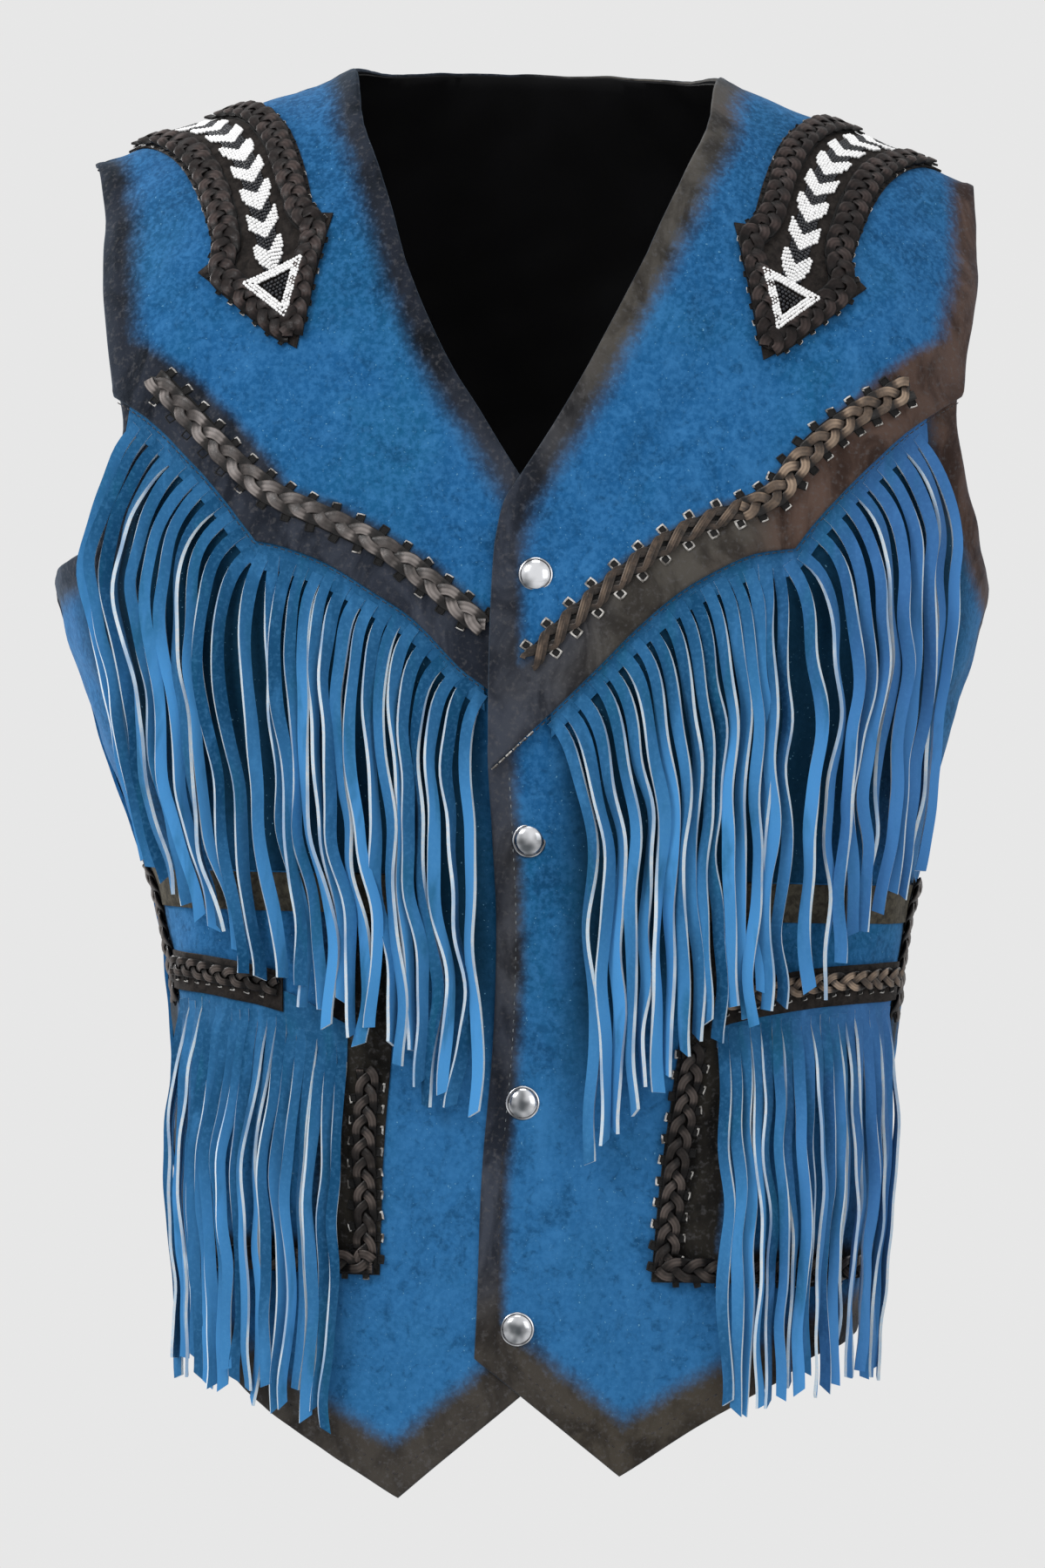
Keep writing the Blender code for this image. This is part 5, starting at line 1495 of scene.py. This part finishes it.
class Pocket:
    """A hip pocket: patch, top band, laced strip over a fringe, and plaits along its edges."""

    def __init__(self, side):
        self.side, self.name = side, SIDE_NAMES[side]
        self.on_panel = raised(lower_lift(side), WALL + LAYER_AIR)
        self.on_patch = raised(self.on_panel, TRIM)
        self.over_fringe = raised(self.on_patch, FRINGE + 2 * LAYER_AIR)
        self.outer = side * (SIDE_SEAM - POCKET_SIDE)
        self.welt = Curve([(POCKET_TOP + 0.002, SIDE_SEAM - WELT_TOP),
                           (POCKET_TOP - WELT_RUN, SIDE_SEAM - WELT_FOOT)])
        *rows, (_, end_height) = STRIP_LINE[side]
        self.strip_end = self.trim_end(end_height)
        self.strip_line = Curve([self.place(d, z) for d, z in rows] + [(self.strip_end, end_height)])
        self.rng = np.random.default_rng(80 + side)

    def place(self, distance, height):
        """The cloth place at a distance out from the body's centre line."""
        distance = min(distance, float(half_width(height)) * 0.985)
        return cloth_place(self.side * distance + BODY_SHIFT_AT_POCKET, height)

    def trim_end(self, height):
        """Where the trims stop short of the side braid."""
        return self.side * (float(self.welt(height)) - 0.0075)

    def laid(self, piece, node, slot, cut, lift, materials):
        laid_piece(f"{piece}_{self.name}", f"{node}_{self.name}", slot, cut, lift, TRIM,
                   materials)

    def braid(self, piece, node, lace, *runs):
        """A braid of plaits, each a pair of its (line, lift, width, period) and its other settings."""
        batch = Batch("wear")
        for run, settings in runs:
            plait(batch, *run, rng=self.rng, **settings)
        braid_piece(f"{piece}_{self.name}", f"{node}_{self.name}", lace, batch)

    def patch(self):
        inner_top = self.place(POCKET_INNER_TOP[self.side], POCKET_TOP)
        inner_foot = self.place(POCKET_INNER_FOOT[self.side], POCKET_FOOT)
        top, foot = (self.outer, POCKET_TOP), (self.outer, POCKET_FOOT)
        dyed = [([inner_top, inner_foot], 0.030, 0.008),
                ([inner_foot, (self.outer - self.side * 0.03, POCKET_FOOT)], 0.013, 0.008),
                ([top, foot], 0.020, 0.016)]
        cut = Cut([foot, top, inner_top, inner_foot], dyed=dyed)
        self.laid("pocket_suede", "pocket_patch", "suede", cut, self.on_panel,
                  [SUEDE_POCKET, INSIDE])

    def band(self):
        top, low = POCKET_TOP - 0.0005, POCKET_TOP - POCKET_BAND_DEPTH
        inner = POCKET_INNER_TOP[self.side]
        cut = Cut([(self.trim_end(low), low), (self.trim_end(top), top), self.place(inner, top),
                   self.place(inner, low)])
        self.laid("pocket_top", "pocket_band", "trim_leather", cut, self.on_patch,
                  [LEATHER_OLIVE, LEATHER_OLIVE])

    def strip(self):
        first, last = sorted([self.strip_end - self.side * 0.0005, self.place(STRIP_END[self.side], -0.450)[0]])
        xs = np.linspace(first, last, 12)
        ring = [(float(a), float(self.strip_line(a))) for a in xs]
        ring += [(float(a), float(self.strip_line(a) + STRIP_DEPTH)) for a in reversed(xs)]
        self.laid("pocket_strip_leather", "pocket_strip", "trim_leather", Cut(ring), self.over_fringe,
                  [LEATHER_BROWN, LEATHER_BROWN])
        along = np.linspace(first + 0.002, last - 0.002, 16)
        line = Line([(float(a), float(self.strip_line(a) + STRIP_DEPTH * 0.62)) for a in along])
        self.braid("pocket_strip_plait", "pocket_strip_braid", LACE_BLACK if self.side < 0 else LACE_TAN,
                   ((line, raised(self.over_fringe, TRIM), 0.0105, 0.0240),
                    dict(thick=0.0012, holes=(-1,), hole_size=0.0024, share=0.34, rim=1.3,
                         bare_rims=(0.0, 0.0))))

    def side_braid(self):
        heights = np.linspace(POCKET_TOP + 0.002, POCKET_TOP - WELT_RUN, 8)
        line = Line([(self.side * float(self.welt(h)), float(h)) for h in heights])
        self.braid("pocket_side_plait", "pocket_side_braid", LACE_BLACK,
                   ((line, self.on_patch, 0.0120, 0.0270),
                    dict(holes=(self.side,), hole_size=0.0026, bare_rims=(0.3, 0.3))))

    def edge_braid(self):
        low = POCKET_FOOT + EDGE_BRAID_INSET
        corner = self.place(POCKET_INNER_FOOT[self.side] + EDGE_BRAID_INSET, low)
        down = Line([self.place(*EDGE_BRAID_TOP[self.side]), corner])
        along = Line([corner, (self.outer - self.side * 0.030, low)])
        head, bare = (-0.009, (0.5, 0.1)) if self.side < 0 else (0.0, (0.1, 0.1))
        self.braid("pocket_edge_plait", "pocket_edge_braid", LACE_BLACK,
                   ((down, self.on_patch, 0.0130, 0.0300),
                    dict(start=head, end=down.length + 0.002, holes=(-1, 1), hole_size=0.0032, share=0.33,
                         rim=1.5, bare_rims=bare)),
                   ((along, raised(self.on_patch, 0.0008), 0.0125, 0.0300),
                    dict(start=-0.004, holes=(-self.side,), hole_size=0.0028, share=0.36,
                         bare_rims=(0.5, 0.5))))

    def fringe(self):
        clear = (0.004, 0.0055)[::-self.side]
        ends = (float(self.strip_line.x[0]) + clear[0], float(self.strip_line.x[-1]) - clear[1])
        shape = {"wave": 0.0018, "neighbour": 0.6, "flip": 0.35, "lean": -0.25 if self.side < 0 else 0.20,
                 "thick": 1.10, "turn": -self.side * math.radians(46)}
        fringe_piece(f"pocket_fringe_strands_{self.name}", f"pocket_fringe_{self.name}", ends, self.strip_line,
                     FRINGE_ROOT * 0.8, POCKET_STRANDS, POCKET_STRAND_LENGTH, POCKET_STRAND_WIDTH,
                     raised(self.on_patch, LAYER_AIR), 30 + self.side, shape)

    def make(self):
        self.patch()
        self.band()
        self.strip()
        self.side_braid()
        self.edge_braid()
        self.fringe()


# Sewing

def stitch_row(batch, line, lift, pitch, long, thick, slot, start, end, aside):
    """A row of short thread stitches sunk a little in the cloth."""
    end = line.length if end is None else end
    begin = np.arange(start, end - long, pitch)
    if not len(begin):
        return
    s = begin[:, None] + np.array([0.0, 0.5, 1.0]) * long
    path, normal = lay_on(line(s, aside), lift, np.array([-0.0002, thick * 0.30, -0.0002]))
    angles = np.linspace(0, 2 * math.pi, 5, endpoint=False)
    profile = np.stack([np.cos(angles), np.sin(angles)], -1) * thick / 2
    for one, up in zip(path, normal):
        way = unit(np.gradient(one, axis=0))
        side = unit(np.cross(way, up))
        points, faces = swept(one, side, np.cross(side, way), profile)
        batch.add(points, faces, slot)


def sewing(side):
    """Stitches of a front: the turned edges, the yoke seam and the pale row at the placket's foot."""
    batch = Batch()
    on_lower = raised(lower_lift(side), WALL)
    on_yoke = raised(yoke_lift(side), WALL)
    foot, edge = hem(side), yoke_edge(side)
    centre, seam = Line([edge[-1], foot[0]]), Line(edge)
    arm = Line([p for p in front_armhole(side) if p[1] > edge[0][1] + 0.004])
    half = centre.length * 0.62
    rows = [
        (centre, on_lower, 0.0042, 0.0020, 0.00045, 0, 0.004, half, 0.0088 * side),
        (centre, on_lower, 0.0042, 0.0020, 0.00045, 1, half, None, 0.0088 * side),
        (Line(foot), on_lower, 0.0042, 0.0024, 0.00055, 1, 0.012, None, 0.0088 * side),
        (seam, on_yoke, 0.0036, 0.0022, 0.00050, 1, 0.004, None, 0.0016 * side),
        (Line(neckline(side)), on_yoke, 0.0042, 0.0024, 0.00050, 1, 0.0, None, 0.0070 * side),
        (arm, on_yoke, 0.0042, 0.0024, 0.00050, 1, 0.0, None, -0.0070 * side),
    ]
    if side > 0:
        rows.insert(4, (seam, on_yoke, 0.0044, 0.0036, 0.00080, 2, seam.length - 0.026, None, 0.0010))
    for row in rows:
        stitch_row(batch, *row)
    stitches = batch.build(f"stitching_{SIDE_NAMES[side]}", [THREAD, THREAD_DARK, RIM], sharp=0)
    return finish_piece(stitches, "suede")


# Snaps

# A snap cap's section: share of its radius and of its rise. The grooves of its rim are dark.
SNAP_PROFILE = [(0.90, 0.0), (1.0, 0.10), (1.03, 0.22), (1.0, 0.34), (0.93, 0.42), (0.875, 0.38),
                (0.85, 0.42), (0.80, 0.55), (0.70, 0.69), (0.55, 0.83), (0.36, 0.94), (0.18, 0.985)]
SNAP_DARK_RINGS = (4, 5)


def snap(index, height):
    """A domed snap cap with a rolled rim, turned round the cloth's normal."""
    across, up = cloth_place(SNAP_ACROSS, height)
    lift = raised(yoke_lift(1) if height > -0.30 else lower_lift(1), WALL)
    foot, normal = lay(across, up, lift(across, up) - 0.0001)
    ahead, _ = lay(across + 0.001, up, lift(across, up))
    east = unit(ahead - foot - normal * np.dot(ahead - foot, normal))
    north = np.cross(normal, east)
    sides = 48
    angles = np.linspace(0, 2 * math.pi, sides, endpoint=False)
    circle = (np.cos(angles)[:, None] * east + np.sin(angles)[:, None] * north) * SNAP_RADIUS
    points = [foot + circle * share + normal * rise * SNAP_RISE for share, rise in SNAP_PROFILE]
    points.append((foot + normal * SNAP_RISE)[None])
    faces = tube_faces(len(SNAP_PROFILE), sides)
    slots = [1 if k // sides in SNAP_DARK_RINGS else 0 for k in range(len(faces))]
    top, crown = (len(SNAP_PROFILE) - 1) * sides, len(SNAP_PROFILE) * sides
    faces += [(top + k, top + (k + 1) % sides, crown) for k in range(sides)]
    faces.append(tuple(reversed(range(sides))))
    slots += [0] * (sides + 1)
    batch = Batch()
    batch.add(np.concatenate(points), faces, slots)
    obj = batch.build(f"snap_cap_{index}", [METAL, METAL_RIM], sharp=60)
    return finish_piece(obj, "snap_metal", f"snap_{index}")


# Assembly

def vest():
    back_piece()
    for side in (-1, 1):
        lower, lower_cut = front_piece(side)
        upper, upper_cut = yoke_piece(side)
        fringe = chest_fringe(side)
        yoke_braid(side)
        arrow(side)
        Pocket(side).make()
        declare(lower, lower_cut, [sewing(side)])
        declare(upper, upper_cut, [fringe])
    for index, height in enumerate(SNAP_HEIGHTS, start=1):
        snap(index, height)


# Studio

FLOOR_HEIGHT = -1.10
FLOOR_HALF = 2.4
CAMERA_BACK = 3.0
CAMERA_ASIDE = 0.0013
CAMERA_HEIGHT = -0.3427
CAMERA_ROLL = math.radians(1.4)
FRAME_HEIGHT = 0.7596
SENSOR = 36.0


def studio():
    """A plain pale floor, soft lights all round and the camera."""
    mesh = bpy.data.meshes.new("studio_floor")
    corners = [(-1, -1), (1, -1), (1, 1), (-1, 1)]
    mesh.from_pydata([(x * FLOOR_HALF, y * FLOOR_HALF, FLOOR_HEIGHT) for x, y in corners], [], [(0, 1, 2, 3)])
    floor = bpy.data.objects.new("studio_floor", mesh)
    bpy.context.scene.collection.objects.link(floor)
    w = Wiring("floor_pale", 0.9)
    broad = w.spread(w.noise(3.0, 2.0), 0.3, 0.7)
    mesh.materials.append(w.finish(w.mix(broad, (0.60, 0.60, 0.60), (0.63, 0.63, 0.63))))
    world = bpy.data.worlds.new("studio")
    world.use_nodes = True
    sky = world.node_tree.nodes["Background"]
    sky.inputs["Color"].default_value = (1.0, 1.0, 1.0, 1.0)
    sky.inputs["Strength"].default_value = 0.80
    bpy.context.scene.world = world
    lights = [
        ("key", (-1.4, -1.7, 1.0), 0.8, 27.0),
        ("fill", (1.6, -1.8, 0.1), 1.2, 6.0),
        ("top", (0.0, -0.3, 1.6), 0.9, 8.0),
        ("back_left", (-1.9, 1.1, 0.7), 0.6, 44.0),
        ("back_right", (1.6, 1.8, 0.4), 1.2, 4.0),
    ]
    for name, place, size, power in lights:
        lamp = bpy.data.lights.new(f"{name}_light", "AREA")
        lamp.size = size
        lamp.energy = power
        obj = bpy.data.objects.new(f"{name}_light", lamp)
        obj.location = place
        aim = Vector((0.0, 0.0, CAMERA_HEIGHT)) - Vector(place)
        obj.rotation_euler = aim.to_track_quat("-Z", "Y").to_euler()
        bpy.context.scene.collection.objects.link(obj)
    camera = bpy.data.cameras.new("camera")
    camera.sensor_width = SENSOR
    camera.lens = SENSOR * CAMERA_BACK / FRAME_HEIGHT
    holder = bpy.data.objects.new("camera", camera)
    holder.location = (CAMERA_ASIDE, -CAMERA_BACK, CAMERA_HEIGHT)
    holder.rotation_euler = (math.pi / 2, -CAMERA_ROLL, 0.0)
    bpy.context.scene.collection.objects.link(holder)
    bpy.context.scene.camera = holder
    bpy.context.scene.view_settings.view_transform = "Standard"


vest()
studio()
